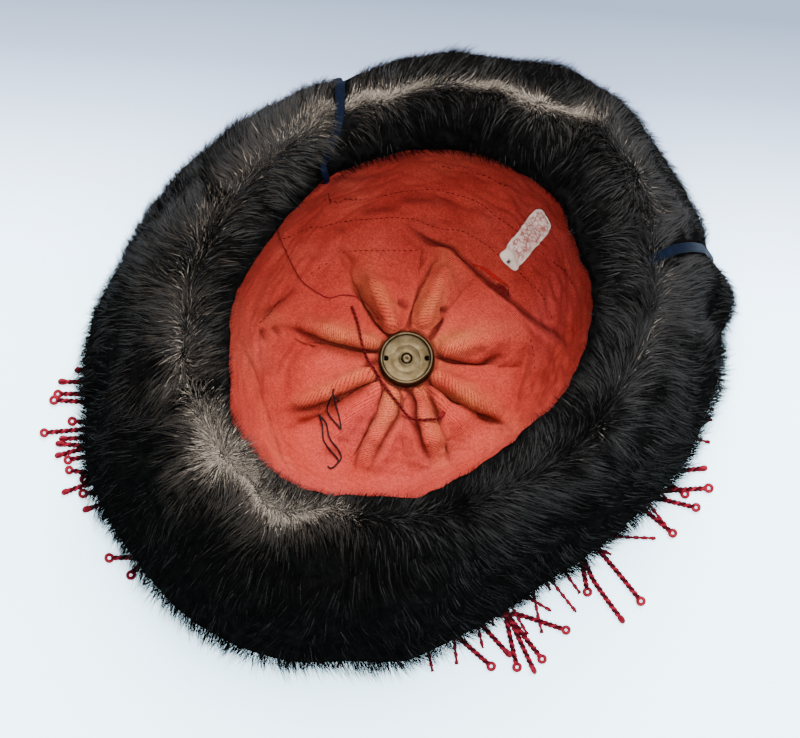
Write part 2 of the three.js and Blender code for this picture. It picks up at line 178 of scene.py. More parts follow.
def blend_cells(table, i, j, k, u, v):
    """A table's value between its rows i and i + 1 and its columns j and k."""
    low = table[i, j] * (1 - v) + table[i, k] * v
    high = table[i + 1, j] * (1 - v) + table[i + 1, k] * v
    return low * (1 - u) + high * u


def ripple(points, size, seed, waves=14):
    """Soft unevenness from about -1 to 1 whose bumps are about this size."""
    draw = np.random.default_rng(seed)
    heading = unit(draw.normal(size=(waves, 3)))
    pace = TURN / size * draw.uniform(0.6, 1.5, waves)
    start = draw.uniform(0, TURN, waves)
    total = np.zeros(points.shape[:-1])
    for way, speed, phase in zip(heading, pace, start):
        total += np.sin(points @ (way * speed) + phase)
    return total / math.sqrt(waves)


def oval_radius(oval, angle):
    along = oval["half_length"] * np.cos(angle)
    across = oval["half_width"] * np.sin(angle)
    return oval["half_width"] * oval["half_length"] / np.hypot(along, across)


def add_object(name, data):
    made = bpy.data.objects.new(name, data)
    bpy.context.scene.collection.objects.link(made)
    return made


def make_piece(name, points, faces, materials, face_slots=None, node=None, slot=None):
    """A mesh from points in millimetres and arrays of faces, riding on the hat's one body."""
    faces = [np.asarray(group, np.int32) for group in faces]
    mesh = bpy.data.meshes.new(name)
    mesh.vertices.add(len(points))
    mesh.vertices.foreach_set("co", (np.asarray(points, float) * MM).astype(np.float32).ravel())
    corners = np.concatenate([group.ravel() for group in faces])
    sizes = np.concatenate([np.full(len(group), group.shape[1]) for group in faces])
    mesh.loops.add(len(corners))
    mesh.loops.foreach_set("vertex_index", corners)
    mesh.polygons.add(len(sizes))
    starts = np.concatenate([[0], np.cumsum(sizes)[:-1]]).astype(np.int32)
    mesh.polygons.foreach_set("loop_start", starts)
    mesh.polygons.foreach_set("use_smooth", np.ones(len(sizes), bool))
    for material in materials:
        mesh.materials.append(material)
    if face_slots is not None:
        mesh.polygons.foreach_set("material_index", np.asarray(face_slots, np.int32))
    mesh.update(calc_edges=True)
    piece = add_object(name, mesh)
    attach(piece, "root")
    if node:
        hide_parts(node)
    return piece


def add_numbers(piece, name, values):
    attribute = piece.data.attributes.new(name, "FLOAT", "POINT")
    attribute.data.foreach_set("value", np.asarray(values, np.float32).ravel())


def add_uv(piece, coordinates):
    """A UV map from one coordinate pair for each vertex."""
    mesh = piece.data
    layer = mesh.uv_layers.new(name="cloth")
    corners = np.empty(len(mesh.loops), np.int32)
    mesh.loops.foreach_get("vertex_index", corners)
    layer.uv.foreach_set("vector", np.asarray(coordinates, np.float32)[corners].ravel())


def sweep_faces(rows, count, closed):
    """Quads between neighbouring loops, and between the last and the first when closed."""
    row = np.arange(rows if closed else rows - 1)[:, None]
    point = np.arange(count)[None, :]
    next_row, next_point = (row + 1) % rows, (point + 1) % count
    quads = [row * count + point, next_row * count + point]
    quads += [next_row * count + next_point, row * count + next_point]
    return np.stack(np.broadcast_arrays(*quads), -1).reshape(-1, 4)


def end_faces(rows, count):
    """Triangle fans that close both ends of a swept tube."""
    turn = np.arange(1, count - 1)
    first = np.stack([np.zeros_like(turn), turn + 1, turn], -1)
    last = (rows - 1) * count + np.stack([np.zeros_like(turn), turn, turn + 1], -1)
    return np.concatenate([first, last])


def sweep_piece(name, loops, material, closed=True, **roles):
    """A piece from loops of points that close round the hat, or else with both ends capped."""
    faces = [sweep_faces(*loops.shape[:2], closed)]
    if not closed:
        faces.append(end_faces(*loops.shape[:2]))
    return make_piece(name, loops.reshape(-1, 3), faces, [material], **roles)


def path_lengths(path):
    """How far along a path each of its points lies."""
    return np.concatenate([[0], np.cumsum(np.linalg.norm(np.diff(path, axis=0), axis=1))])


def path_axes(path):
    """Unit vectors across and above a path, and how far along it each point lies."""
    along = unit(np.gradient(path, axis=0))
    across = unit(np.cross(along, [0, 0, 1.0]) + 1e-6)
    return across, np.cross(across, along), path_lengths(path)


def tube(path, radius, sides, squash=1.0, twist=0.0):
    """Loops of points round a path; squash flattens them across and twist turns them along it."""
    path = np.asarray(path, float)
    across, above, travelled = path_axes(path)
    turn = ring(sides)
    u, v = (radius * np.cos(turn))[:, None], (radius * squash * np.sin(turn))[:, None]
    spin = (travelled * twist)[:, None, None]
    side, rise = u * np.cos(spin) - v * np.sin(spin), u * np.sin(spin) + v * np.cos(spin)
    return path[:, None] + across[:, None] * side + above[:, None] * rise


def tube_piece(name, tubes, materials, shades=None, **roles):
    """Many capped tubes in one piece; shades picks the material of each."""
    points, quads, caps, first = [], [], [], 0
    for loops in tubes:
        rows, count = loops.shape[:2]
        points.append(loops.reshape(-1, 3))
        quads.append(sweep_faces(rows, count, False) + first)
        caps.append(end_faces(rows, count) + first)
        first += rows * count
    if shades:
        pairs = zip(quads + caps, [*shades, *shades])
        shades = np.concatenate([np.full(len(group), shade) for group, shade in pairs])
    faces = [np.concatenate(quads), np.concatenate(caps)]
    return make_piece(name, np.concatenate(points), faces, materials, shades, **roles)


def resample(path, step):
    """Points along a smooth curve through a path, evenly spaced."""
    path = np.asarray(path, float)
    fine = spline(path, np.linspace(0, len(path) - 1, len(path) * 24))
    travelled = path_lengths(fine)
    marks = np.linspace(0, travelled[-1], max(int(travelled[-1] / step), 3))
    return np.stack([np.interp(marks, travelled, fine[:, k]) for k in range(3)], -1)


def resample_plan(line, step):
    """The same for a line seen from above, at height 0."""
    return resample([(x, y, 0) for x, y in line], step)


def plies(path, radius, pitch, phase=0.0):
    """Two round plies twisted about a path, as tubes whose overall radius is given."""
    across, above, travelled = path_axes(path)
    made = []
    for half in (0, math.pi):
        spin = (TURN * travelled / pitch + phase + half)[:, None]
        centre = path + radius * 0.48 * (across * np.cos(spin) + above * np.sin(spin))
        made.append(tube(centre, radius * 0.52, 6))
    return made


# Materials

def new_material(name, **sockets):
    material = bpy.data.materials.new(name)
    material.use_nodes = True
    shader = material.node_tree.nodes["Principled BSDF"]
    for socket, value in sockets.items():
        shader.inputs[socket.replace("_", " ")].default_value = value
    return material


class Nodes:
    """A new material, with short ways to add nodes to it and join them."""

    def __init__(self, name, **sockets):
        self.material = new_material(name, **sockets)
        self.tree = self.material.node_tree
        self.shader = self.tree.nodes["Principled BSDF"]

    def set_input(self, node, key, value):
        if isinstance(value, bpy.types.NodeSocket):
            self.tree.links.new(value, node.inputs[key])
        else:
            node.inputs[key].default_value = value

    def feed(self, socket, value):
        """Gives a value to one of the shader's own inputs."""
        self.set_input(self.shader, socket, value)

    def add(self, kind, inputs=(), **settings):
        node = self.tree.nodes.new(kind)
        for key, value in settings.items():
            setattr(node, key, value)
        for key, value in dict(inputs).items():
            self.set_input(node, key, value)
        return node

    def place(self):
        return self.add("ShaderNodeTexCoord").outputs["Object"]

    def cloth(self):
        return self.add("ShaderNodeUVMap", uv_map="cloth").outputs[0]

    def number(self, name):
        return self.add("ShaderNodeAttribute", attribute_name=name).outputs["Fac"]

    def noise(self, scale, detail, roughness=0.55):
        inputs = {"Vector": self.place(), "Scale": scale, "Detail": detail, "Roughness": roughness}
        return self.add("ShaderNodeTexNoise", inputs).outputs["Fac"]

    def ramp(self, factor, *stops):
        """Colours at places from 0 to 1; a single number stands for a grey."""
        node = self.add("ShaderNodeValToRGB", {"Fac": factor})
        elements = node.color_ramp.elements
        while len(elements) < len(stops):
            elements.new(0.5)
        for element, (position, colour) in zip(elements, stops):
            element.position = position
            element.color = (*colour, 1) if isinstance(colour, tuple) else (colour, colour, colour, 1)
        return node.outputs["Color"]

    def mix(self, factor, first, second, blend="MIX"):
        """Two colours mixed, the second a plain colour or the output of a node."""
        if isinstance(second, tuple):
            second = (*second, 1)
        inputs = {0: factor, 6: first, 7: second}
        return self.add("ShaderNodeMix", inputs, data_type="RGBA", blend_type=blend).outputs[2]

    def math(self, operation, first, second):
        return self.add("ShaderNodeMath", {0: first, 1: second}, operation=operation).outputs[0]

    def bump(self, height, strength, distance):
        inputs = {"Height": height, "Strength": strength, "Distance": distance}
        self.feed("Normal", self.add("ShaderNodeBump", inputs).outputs[0])

    def colour(self, value):
        self.feed("Base Color", value)


def weave(nodes, thread, vector):
    """Threads over and under each other, from 0 to 1; thread is their spacing in metres."""
    scale = 1 / thread / 2
    waves = [
        nodes.add(
            "ShaderNodeTexWave",
            {"Vector": vector, "Scale": scale, "Distortion": 1.2, "Detail Scale": 0.6},
            wave_type="BANDS", bands_direction=way,
        ).outputs["Fac"]
        for way in ("X", "Y")
    ]
    return nodes.math("MULTIPLY", waves[0], waves[1])


def cotton_material():
    nodes = Nodes("red_cotton", Roughness=0.95, Specular_IOR_Level=0.1)
    cloth = nodes.cloth()
    threads = weave(nodes, 0.0009, cloth)
    base = nodes.ramp(nodes.noise(28, 4), (0.32, (0.2, 0.018, 0.012)),
                      (0.5, (0.25, 0.028, 0.019)), (0.7, (0.28, 0.042, 0.028)))
    # Painted highlight: ridge tops lightened towards orange yellow, in patches, stronger near the nut.
    ridge_highlight_patches = nodes.ramp(nodes.noise(55, 4), (0.35, 0.15), (0.65, 0.75))
    ridge = nodes.math("MULTIPLY", nodes.number("ridge"), ridge_highlight_patches)
    ridge_highlight = nodes.mix(ridge, base, (0.235, 0.078, 0.028))
    patches = nodes.ramp(nodes.noise(14, 2), (0.56, 0), (0.72, 1))
    pink = nodes.mix(nodes.math("MULTIPLY", patches, 0.35), ridge_highlight, (0.22, 0.022, 0.03))
    # Painted shade: the cloth darkened in its creases and along the top of the wall under the fur.
    shaded_in_creases = nodes.mix(nodes.number("crease"), pink, (0.05, 0.0025, 0.0025))
    grain = nodes.math("ADD", nodes.math("MULTIPLY", threads, 0.75), nodes.noise(1100, 2))
    shade = nodes.ramp(grain, (0.44, (0.4, 0.28, 0.28)), (0.8, 1))
    bright = nodes.mix(1.0, shaded_in_creases, (1.32, 1.2, 1.15), "MULTIPLY")
    nodes.colour(nodes.mix(1.0, bright, shade, "MULTIPLY"))
    nodes.bump(grain, 0.6, 0.0004)
    return nodes.material


def satin_material():
    nodes = Nodes("dark_satin", Roughness=0.6, Specular_IOR_Level=0.25)
    dust = nodes.noise(60, 5)
    nodes.colour(nodes.ramp(dust, (0.35, (0.005, 0.0045, 0.006)), (0.7, (0.012, 0.01, 0.011))))
    nodes.bump(weave(nodes, 0.0005, nodes.place()), 0.3, 0.0001)
    return nodes.material


def hide_material():
    nodes = Nodes("fur_hide", Roughness=0.9, Specular_IOR_Level=0.0, IOR=1.02)
    tufts = nodes.noise(240, 5)
    dark = nodes.ramp(tufts, (0.35, (0.001, 0.001, 0.001)), (0.7, (0.0036, 0.0034, 0.0034)))
    nodes.colour(nodes.mix(nodes.number("light"), dark, (0.085, 0.072, 0.06)))
    nodes.bump(tufts, 0.8, 0.001)
    return nodes.material


def hair_materials():
    """Plain shades of hair, from the darkest to the palest underfur; the smoke and grey ones also paint
    sheen and glints.
    """
    shades = [
        ("fur_black", (0.0015, 0.0014, 0.0014), 0.7, 0.0),
        ("fur_dark", (0.0048, 0.0045, 0.0045), 0.7, 0.0),
        ("fur_smoke", (0.024, 0.0235, 0.0235), 0.5, 0.04),
        ("fur_grey", (0.036, 0.035, 0.035), 0.45, 0.1),
        ("fur_brown", (0.029, 0.0243, 0.0205), 0.6, 0.04),
        ("fur_beige", (0.125, 0.103, 0.083), 0.6, 0.04),
        ("fur_pale", (0.255, 0.22, 0.183), 0.6, 0.04),
    ]
    return [
        new_material(name, Base_Color=(*colour, 1), Roughness=rough, Specular_IOR_Level=shine,
                     IOR=1.2 if shine else 1.02)
        for name, colour, rough, shine in shades
    ]


def silk_material(name, dark, light, thread):
    nodes = Nodes(name, Roughness=0.6, Specular_IOR_Level=0.02)
    nodes.colour(nodes.ramp(nodes.noise(420, 4), (0.3, dark), (0.7, light)))
    nodes.bump(weave(nodes, thread, nodes.place()), 0.5, 0.0002)
    return nodes.material


def brass_material():
    nodes = Nodes("aged_brass", Metallic=1.0)
    stain = nodes.noise(190, 6, 0.65)
    base = nodes.ramp(stain, (0.3, (0.024, 0.0165, 0.0075)), (0.5, (0.045, 0.0325, 0.0162)),
                      (0.75, (0.085, 0.066, 0.039)))
    nodes.colour(nodes.mix(nodes.number("grime"), base, (0.012, 0.009, 0.006)))
    gloss = {"Value": nodes.noise(700, 4), "To Min": 0.36, "To Max": 0.55}
    gloss = nodes.add("ShaderNodeMapRange", gloss).outputs[0]
    nodes.feed("Roughness", gloss)
    nodes.bump(nodes.noise(2600, 2), 0.15, 0.0001)
    return nodes.material


def label_material():
    """Pale cloth with a faint generic grid of small red marks, and painted shade where its hole is."""
    nodes = Nodes("label_cloth", Roughness=0.85)
    cloth = nodes.cloth()
    marks = nodes.add(
        "ShaderNodeTexVoronoi", {"Vector": cloth, "Scale": 400, "Randomness": 0.7},
        feature="DISTANCE_TO_EDGE",
    ).outputs["Distance"]
    lines = nodes.ramp(marks, (0.06, 1), (0.18, 0))
    patchy = nodes.ramp(nodes.noise(330, 3), (0.32, 0.1), (0.55, 1))
    faint = nodes.math("MULTIPLY", lines, patchy)
    inside = nodes.math("MULTIPLY", faint, nodes.number("print"))
    paper = nodes.ramp(nodes.noise(120, 4), (0.3, (0.5, 0.41, 0.345)), (0.7, (0.63, 0.56, 0.5)))
    marked = nodes.mix(inside, paper, (0.28, 0.06, 0.045))
    # Painted shade: the label's hole is a near-black patch rather than an opening.
    nodes.colour(nodes.mix(nodes.number("hole_shade"), marked, (0.01, 0.006, 0.006)))
    nodes.bump(weave(nodes, 0.0005, cloth), 0.4, 0.0001)
    return nodes.material


def floor_material():
    """Pale floor that glows with painted light of its own, its colour and glow darker towards the back as a
    painted fall-off of light.
    """
    nodes = Nodes("pale_floor", Roughness=0.9, Specular_IOR_Level=0.02)
    spot = nodes.add("ShaderNodeSeparateXYZ", {"Vector": nodes.place()}).outputs
    back = nodes.math("SUBTRACT", nodes.math("MULTIPLY", spot["Y"], 0.7),
                      nodes.math("MULTIPLY", spot["X"], 0.72))
    far = nodes.add("ShaderNodeMapRange", {"Value": back, "From Min": 0.0, "From Max": 0.3})
    shade = nodes.ramp(far.outputs[0], (0.0, (0.62, 0.87, 1.0)), (0.18, (0.57, 0.76, 0.95)),
                       (0.3, (0.43, 0.55, 0.71)), (0.42, (0.26, 0.33, 0.45)),
                       (0.54, (0.14, 0.175, 0.25)), (0.68, (0.075, 0.1, 0.145)))
    nodes.colour(shade)
    # Painted light: the floor glows in the same colour, brightest at the front.
    nodes.feed("Emission Color", shade)
    nodes.feed("Emission Strength", 2.2)
    return nodes.material


COTTON = cotton_material()
SATIN = satin_material()
HIDE = hide_material()
HAIRS = hair_materials()
NAVY = silk_material("navy_silk", (0.0007, 0.0016, 0.0045), (0.0016, 0.0035, 0.0095), 0.0004)
CRIMSON = silk_material("crimson_cord", (0.12, 0.004, 0.011), (0.23, 0.011, 0.024), 0.0004)
DARK_RED = silk_material("dark_red_cord", (0.075, 0.004, 0.006), (0.14, 0.009, 0.011), 0.0004)
# Darker copies of the cord colours: painted shade for the second ply of a twisted cord.
DARK_RED_SHADED = silk_material("dark_red_cord_shaded", (0.018, 0.0012, 0.0018), (0.04, 0.0025, 0.0035), 0.0004)
CRIMSON_SHADED = silk_material("crimson_cord_shaded", (0.022, 0.001, 0.003), (0.06, 0.003, 0.007), 0.0004)
BLACK_THREAD = silk_material("black_thread", (0.006, 0.004, 0.005), (0.025, 0.012, 0.012), 0.0003)
STITCH_RED = new_material("stitch_thread", Base_Color=(0.04, 0.002, 0.002, 1), Roughness=0.9,
                          Specular_IOR_Level=0.02)
BRASS = brass_material()
LABEL = label_material()


# Camera and light

CAMERA_TURN = 50 * DEG
CAMERA_RISE = 77 * DEG
CAMERA_DISTANCE = 1200
CAMERA_AIM = np.array([2.4, -6.4, 17.0])
CAMERA_LENS = 106
SENSOR_WIDTH = 36
FLOOR_REACH = 2500
LIGHT_AIM = Vector((0, 0, 0.05))
# Lights: name, heading and rise in degrees, distance and size in metres, power, colour.
LIGHTS = [
    ("key", 130, 54, 1.7, 1.2, 124, (1.0, 0.985, 0.96)),
    ("fill", 325, 66, 1.8, 1.5, 52, (0.97, 0.98, 1.0)),
    ("side", 55, 45, 1.8, 1.0, 27, (0.97, 0.98, 1.0)),
]


def make_camera():
    back = np.array([
        math.sin(CAMERA_TURN) * math.cos(CAMERA_RISE),
        -math.cos(CAMERA_TURN) * math.cos(CAMERA_RISE),
        math.sin(CAMERA_RISE),
    ])
    data = bpy.data.cameras.new("camera")
    data.lens = CAMERA_LENS
    data.sensor_width = SENSOR_WIDTH
    camera = add_object("camera", data)
    camera.location = Vector((CAMERA_AIM + back * CAMERA_DISTANCE) * MM)
    camera.rotation_mode = "QUATERNION"
    camera.rotation_quaternion = Vector(-back).to_track_quat("-Z", "Y")
    bpy.context.scene.camera = camera


def make_light(name, heading, rise, distance, size, power, colour):
    """An area light aimed at the hat; heading is counted in degrees as the hat's angles are."""
    data = bpy.data.lights.new(name, "AREA")
    data.shape = "DISK"
    data.size = size
    data.energy = power
    data.color = colour
    light = add_object(name, data)
    heading, rise = heading * DEG, rise * DEG
    flat = math.cos(rise)
    away = Vector((math.cos(heading) * flat, math.sin(heading) * flat, math.sin(rise)))
    light.location = away * distance + LIGHT_AIM
    light.rotation_mode = "QUATERNION"
    light.rotation_quaternion = away.to_track_quat("Z", "Y")


def make_studio():
    corners = [(-1, -1, 0), (1, -1, 0), (1, 1, 0), (-1, 1, 0)]
    mesh = bpy.data.meshes.new("floor")
    mesh.from_pydata([Vector(c) * FLOOR_REACH * MM for c in corners], [], [(0, 1, 2, 3)])
    mesh.materials.append(floor_material())
    floor = add_object("floor", mesh)
    world = bpy.data.worlds.new("studio")
    world.use_nodes = True
    sky = world.node_tree.nodes["Background"]
    sky.inputs["Color"].default_value = (0.95, 0.97, 1.0, 1)
    sky.inputs["Strength"].default_value = 0.85
    bpy.context.scene.world = world
    for light in LIGHTS:
        make_light(*light)


# The cap's shape

# The pleats' blur, and what it takes from their height given back.
PLEAT_BLUR = 0.8
PLEAT_REGAIN = 1.12


def cap_rows(angle):
    """Radius, height and gather at each ring for each angle; the rings are the first axis."""
    rim = oval_radius(HEAD_OPENING, angle)
    reach, rise, lift, gather = (CAP_RINGS[:, k, None] for k in range(4))
    radius = BORE + (rim[None] - BORE) * reach
    height = DISC_HEIGHT + CAP_DEPTH * rise + DIMPLE * lift + 0 * radius
    return np.stack([radius, height, gather + 0 * radius], -1)


def pleat_share(angle, radius):
    """The share of the pleats' height at an angle: narrow ridges at the nut, broad ones outside."""
    degrees = (angle / DEG) % 360
    crease, ridge, height = PLEATS.T
    index = np.searchsorted(crease, degrees, side="right") - 1
    start, top, size = crease[index], ridge[index], height[index]
    width = (crease[(index + 1) % len(crease)] - start) % 360
    place = ((degrees - start) % 360) / width
    peak = ((top - start) % 360) / width
    side = np.where(place < peak, place / peak, (1 - place) / (1 - peak))
    power = 1.7 - 0.95 * smoothstep(15, 44, radius)
    return size * np.clip(side, 0, 1) ** power


def lining_grid(angles, places, offset):
    """The lining's points over a grid of angles and places counted in rings, and their radius."""
    rows = spline(cap_rows(angles), places)
    radius, height, gather = rows[..., 0], rows[..., 1], rows[..., 2]
    run, climb = np.gradient(radius, axis=0), np.gradient(height, axis=0)
    size = np.maximum(np.hypot(run, climb), 1e-6)
    share = pleat_share(angles[None] + 0 * radius, radius)
    relief = PLEAT_REGAIN * soften(PLEAT_HEIGHT * np.clip(gather, 0, 1.05) * share, radius)
    r = radius - climb / size * offset
    z = height + run / size * offset + relief
    return polar(r, angles[None], z), radius


def soften(relief, radius):
    """Rounds the ridges: an even blur of a fixed width round each ring."""
    count = relief.shape[1]
    wave = np.fft.rfftfreq(count, 1 / count)
    blurred = np.empty_like(relief)
    for row in range(len(relief)):
        spread = PLEAT_BLUR / max(radius[row].mean(), 4.0)
        keep = np.exp(-0.5 * (wave * spread) ** 2)
        blurred[row] = np.fft.irfft(np.fft.rfft(relief[row]) * keep, count)
    return blurred


# Folds of the lining seen from above: height, half width and the points that each runs through.
# A fold below zero is a sharp crease, one above it a rounded ridge.
FOLDS = [
    (-3.4, 1.3, [(-12.4, -8.2), (-20.6, -14.6), (-30.2, -21.6), (-38.3, -26.5), (-46.5, -31.3),
                 (-52.8, -36.6), (-57.5, -43)]),
    (-2.6, 1.3, [(-14.1, 1.6), (-22.8, 0.5), (-31.9, 1.5), (-42, 3.2), (-50.3, 5.9), (-54.9, 9.7)]),
    (-2.2, 1.1, [(-12.5, 11.6), (-17.3, 17.9), (-21.8, 25.1), (-26.3, 35.2), (-29.7, 43.5),
                 (-32.1, 52.7)]),
    (-3.0, 1.3, [(-0.9, 16.3), (-3.1, 24), (-7.5, 31.5)]),
    (-3.0, 1.3, [(8.4, 12.7), (16.3, 19.3), (24.9, 27.2), (26.8, 30.5), (28.2, 36), (33.1, 43.5)]),
    (-3.4, 1.4, [(14.3, 1.8), (21.2, 1.8), (27.8, 2.9), (36.6, 7.2), (46.9, 11.7), (56.4, 15.2),
                 (66, 16.2)]),
    (-2.2, 1.4, [(16, -0.4), (25.7, -3.3), (38, -9.8), (49.9, -15.4), (60.6, -20.9)]),
    (-3.0, 1.7, [(8.9, -9.1), (19.7, -11.1), (28.9, -18), (42.5, -23.6), (55.2, -26.9)]),
    (-2.4, 1.4, [(3, -17.8), (10.9, -27.6), (15.5, -38.1), (21.4, -49.6), (30.4, -60.3)]),
    (-2.0, 1.3, [(9.1, -12.5), (16.8, -19.7), (21.6, -28.4), (25.6, -39), (30.1, -48.2),
                 (36.9, -56.7)]),
    (-3.2, 1.3, [(-1.6, -17.2), (-5.5, -27.1), (-8.2, -38.1), (-9.8, -45), (-13.2, -53.7),
                 (-17.6, -63.2), (-20.7, -73.3)]),
    (-2.6, 1.5, [(-8.7, -11.3), (-9.6, -17.1), (-11.6, -22)]),
    (-1.6, 1.2, [(-70, 26.3), (-66.6, 34.1), (-61.3, 42.9), (-56.2, 48.5)]),
    (-1.6, 1.2, [(-62.9, 44.2), (-59, 50.8), (-53.4, 57.7), (-47.9, 64.7), (-41.5, 69.3),
                 (-36.7, 72)]),
    (-2.4, 1.6, [(-26.7, 14.7), (-23.7, 17.1), (-19.8, 18.1)]),
    (-2.2, 1.5, [(-10.3, 28.4), (-9.5, 31.1), (-6.7, 32.2)]),
    (-2.0, 2.4, [(31, 55.3), (37.2, 49.2), (43.3, 40.7), (50.8, 30.8), (60.5, 20.5)]),
    (-2.4, 1.4, [(-57.7, -48.7), (-55, -50), (-51.9, -51.5)]),
    (-2.0, 1.4, [(-57, -43.3), (-51.1, -42.1)]),
    (-1.8, 1.4, [(-58.8, -47), (-61.2, -41.1), (-62.4, -31.5), (-64.1, -17.9)]),
    (-1.8, 2.6, [(-42.7, -34.6), (-38.9, -47.4), (-33.6, -55.8), (-27.7, -61.4)]),
    (-2.2, 2.2, [(-66.1, 10.2), (-61, 10.8), (-54.4, 10.2)]),
    (-1.3, 1.2, [(-72.1, 11.5), (-69.6, 16.6), (-67.1, 18.6)]),
    (-3.6, 6.5, [(-79.3, -17.4), (-73.8, 4), (-69.2, 26.3), (-66, 42), (-60, 58), (-46, 76),
                 (-28.1, 88), (-7.4, 94.4)]),
    (-0.8, 0.8, [(-83.8, 11.6), (-79.4, 26.2), (-74.3, 37.8), (-70, 47)]),
    (-1.5, 0.9, [(-62, -60.5), (-57, -63.1), (-39.4, -68.6), (-26.1, -73.5), (-7.3, -80.9),
                 (10.8, -86.9), (24, -90)]),
    (2.4, 3.2, [(-56.3, -64), (-45.2, -68.8), (-33.6, -74.7), (-18.8, -79.2), (1.1, -85.3)]),
    (1.6, 3.6, [(-14.9, -6), (-22.3, -13), (-30.7, -19.4), (-40.8, -24.2), (-52.1, -31.5),
                (-59.1, -41.4)]),
    (1.5, 3.4, [(-4.3, -17.4), (-6.9, -25.9), (-10.2, -36.3), (-13.6, -46.7), (-19.2, -58.6),
                (-23.4, -69.6)]),
    (1.8, 3.0, [(7.3, -14.7), (13.1, -21.2), (17.7, -30), (21.2, -39.5), (26.4, -48.8),
                (33.2, -56.9)]),
    (1.8, 3.2, [(14.4, -4.1), (21.8, -5.3), (31, -9.7), (41.9, -15.6), (53.9, -21.7)]),
    (1.4, 3.4, [(13.6, 8), (22.6, 8.9), (31, 11.7), (42.7, 15.1), (52.6, 18.3), (62, 19.9)]),
    (1.8, 3.2, [(4, 16.4), (8.1, 22.8), (12.3, 30.9), (17.3, 40), (22.8, 48.8), (28.3, 55)]),
    (1.4, 3.4, [(-9.3, 15.9), (-12.2, 21.6), (-18.9, 33.9), (-23.9, 44.9), (-29, 54)]),
    (1.3, 3.6, [(-16.4, 5.2), (-26.1, 7.5), (-36.8, 8.9), (-47.7, 11.3), (-56.4, 15.2)]),
]
# A fold that starts nearer than this runs in under the nut.
NUT_REACH = 25
# The lip where the pleated disc meets the wall.
DISC_LIP = [
    (-58, 41.5), (-55.7, 44), (-48.5, 47.1), (-41.6, 49.8), (-35.7, 52.4), (-33.1, 53.6),
    (-29.5, 55.6), (-23.8, 55), (-17.9, 56.8), (-9.7, 58.3), (1.8, 58.6), (12.8, 60.9),
    (21.5, 61.7), (32.5, 63.8), (40.6, 64.6), (52.4, 61.4), (61.5, 55.6),
]


def line_field(plan, line):
    """Distance from a line seen from above, the side (1 is left of it), and the share passed."""
    line = resample_plan(line, 3.5)[:, :2]
    reach = np.linalg.norm(np.diff(line, axis=0), axis=1)
    best = np.full(plan.shape[:-1], 1e9)
    side, passed = np.zeros_like(best), np.zeros_like(best)
    for start, way, length, before in zip(line, np.diff(line, axis=0), reach, np.cumsum(reach)):
        way = way / length
        gap = plan - start
        along = np.clip(gap @ way, 0, length)
        away = np.linalg.norm(gap - along[..., None] * way, axis=-1)
        nearer = away < best
        best = np.where(nearer, away, best)
        side = np.where(nearer, np.sign(way[0] * gap[..., 1] - way[1] * gap[..., 0]), side)
        passed = np.where(nearer, (before - length + along) / reach.sum(), passed)
    return best, side, passed


def fold_shift(points, radius, places):
    """How far folds lift the cloth, and masks for the shade painted into its creases and the highlight
    painted on its ridges, at each point.
    """
    plan = points[..., :2]
    shift, crease_shade, ridge_highlight = (np.zeros(radius.shape) for _ in range(3))
    for height, width, line in FOLDS:
        away, _, passed = line_field(plan, line)
        from_nut = math.hypot(*line[0]) < NUT_REACH
        if from_nut and height > 0:
            height, width = 0.75 * height, 1.35 * width
        start = 1 if from_nut else smoothstep(0, 0.2, passed)
        fade = start * (1 - smoothstep(0.6, 1, passed))
        peak = bell(away, width) * fade
        shift += height * peak
        if height < 0:
            shift -= 0.25 * height * fade * bell(away - 2.7 * width, 1.5 * width)
            # Narrow creases are darkened with painted shade.
            if width < 2:
                crease_shade = np.maximum(crease_shade, peak * min(-height / 3, 1))
        else:
            # Ridges get a painted highlight, strongest near the nut.
            near_nut = 1 - smoothstep(28, 70, radius)
            ridge_highlight = np.maximum(ridge_highlight, bell(away, 1.2 * width) * (0.25 + 0.75 * near_nut))
    away, side, passed = line_field(plan, DISC_LIP)
    signed = away * side
    fade = smoothstep(0, 0.15, passed) * (1 - smoothstep(0.75, 1, passed))
    shift += (3.0 * bell(signed + 3.2, 3.0) - 2.6 * bell(signed - 0.6, 1.2)) * fade
    # The lip's crease is darkened with painted shade too.
    crease_shade = np.maximum(crease_shade, bell(signed - 0.6, 1.3) * fade)
    loose = smoothstep(22, 40, radius)
    shift += loose * (0.9 * ripple(points, 26, 3) + 0.42 * ripple(points, 9, 4))
    shift += 0.16 * smoothstep(15, 24, radius) * ripple(points, 4, 5)
    shift = np.maximum(shift + 2.3, -1.1)
    shift *= smoothstep(14.2, 17, radius) * (1 - smoothstep(12.2, 13, places))[:, None]
    return shift, crease_shade, ridge_highlight


LINING_COLUMNS = 400
LINING_ROWS = 160


def lining_places():
    """Places counted in rings, spread evenly along the cloth and closer over the pleats."""
    fine = np.linspace(0, RIM_PLACE, 1200)
    rows = spline(cap_rows(np.array([math.pi / 4])), fine)[:, 0]
    step = np.hypot(np.diff(rows[:, 0]), np.diff(rows[:, 1])) * np.where(rows[1:, 0] < 68, 1.6, 1)
    total = np.concatenate([[0], np.cumsum(step)])
    return np.interp(np.linspace(0, total[-1], LINING_ROWS), total, fine)


LINING_PLACES = lining_places()


def lining_surface():
    """The finished lining over a grid: points, normals, and the masks for painted crease shade and painted
    ridge highlight.
    """
    points, radius = lining_grid(ring(LINING_COLUMNS), LINING_PLACES, LINING_WALL)
    shift, crease_shade, ridge_highlight = fold_shift(points, radius, LINING_PLACES)
    points = points + grid_normals(points) * shift[..., None]
    return points, grid_normals(points), crease_shade, ridge_highlight


def grid_normals(points):
    """Normals that face the inside of the cap."""
    along = np.gradient(points, axis=0)
    around = np.roll(points, -1, 1) - np.roll(points, 1, 1)
    return unit(np.cross(along, around))


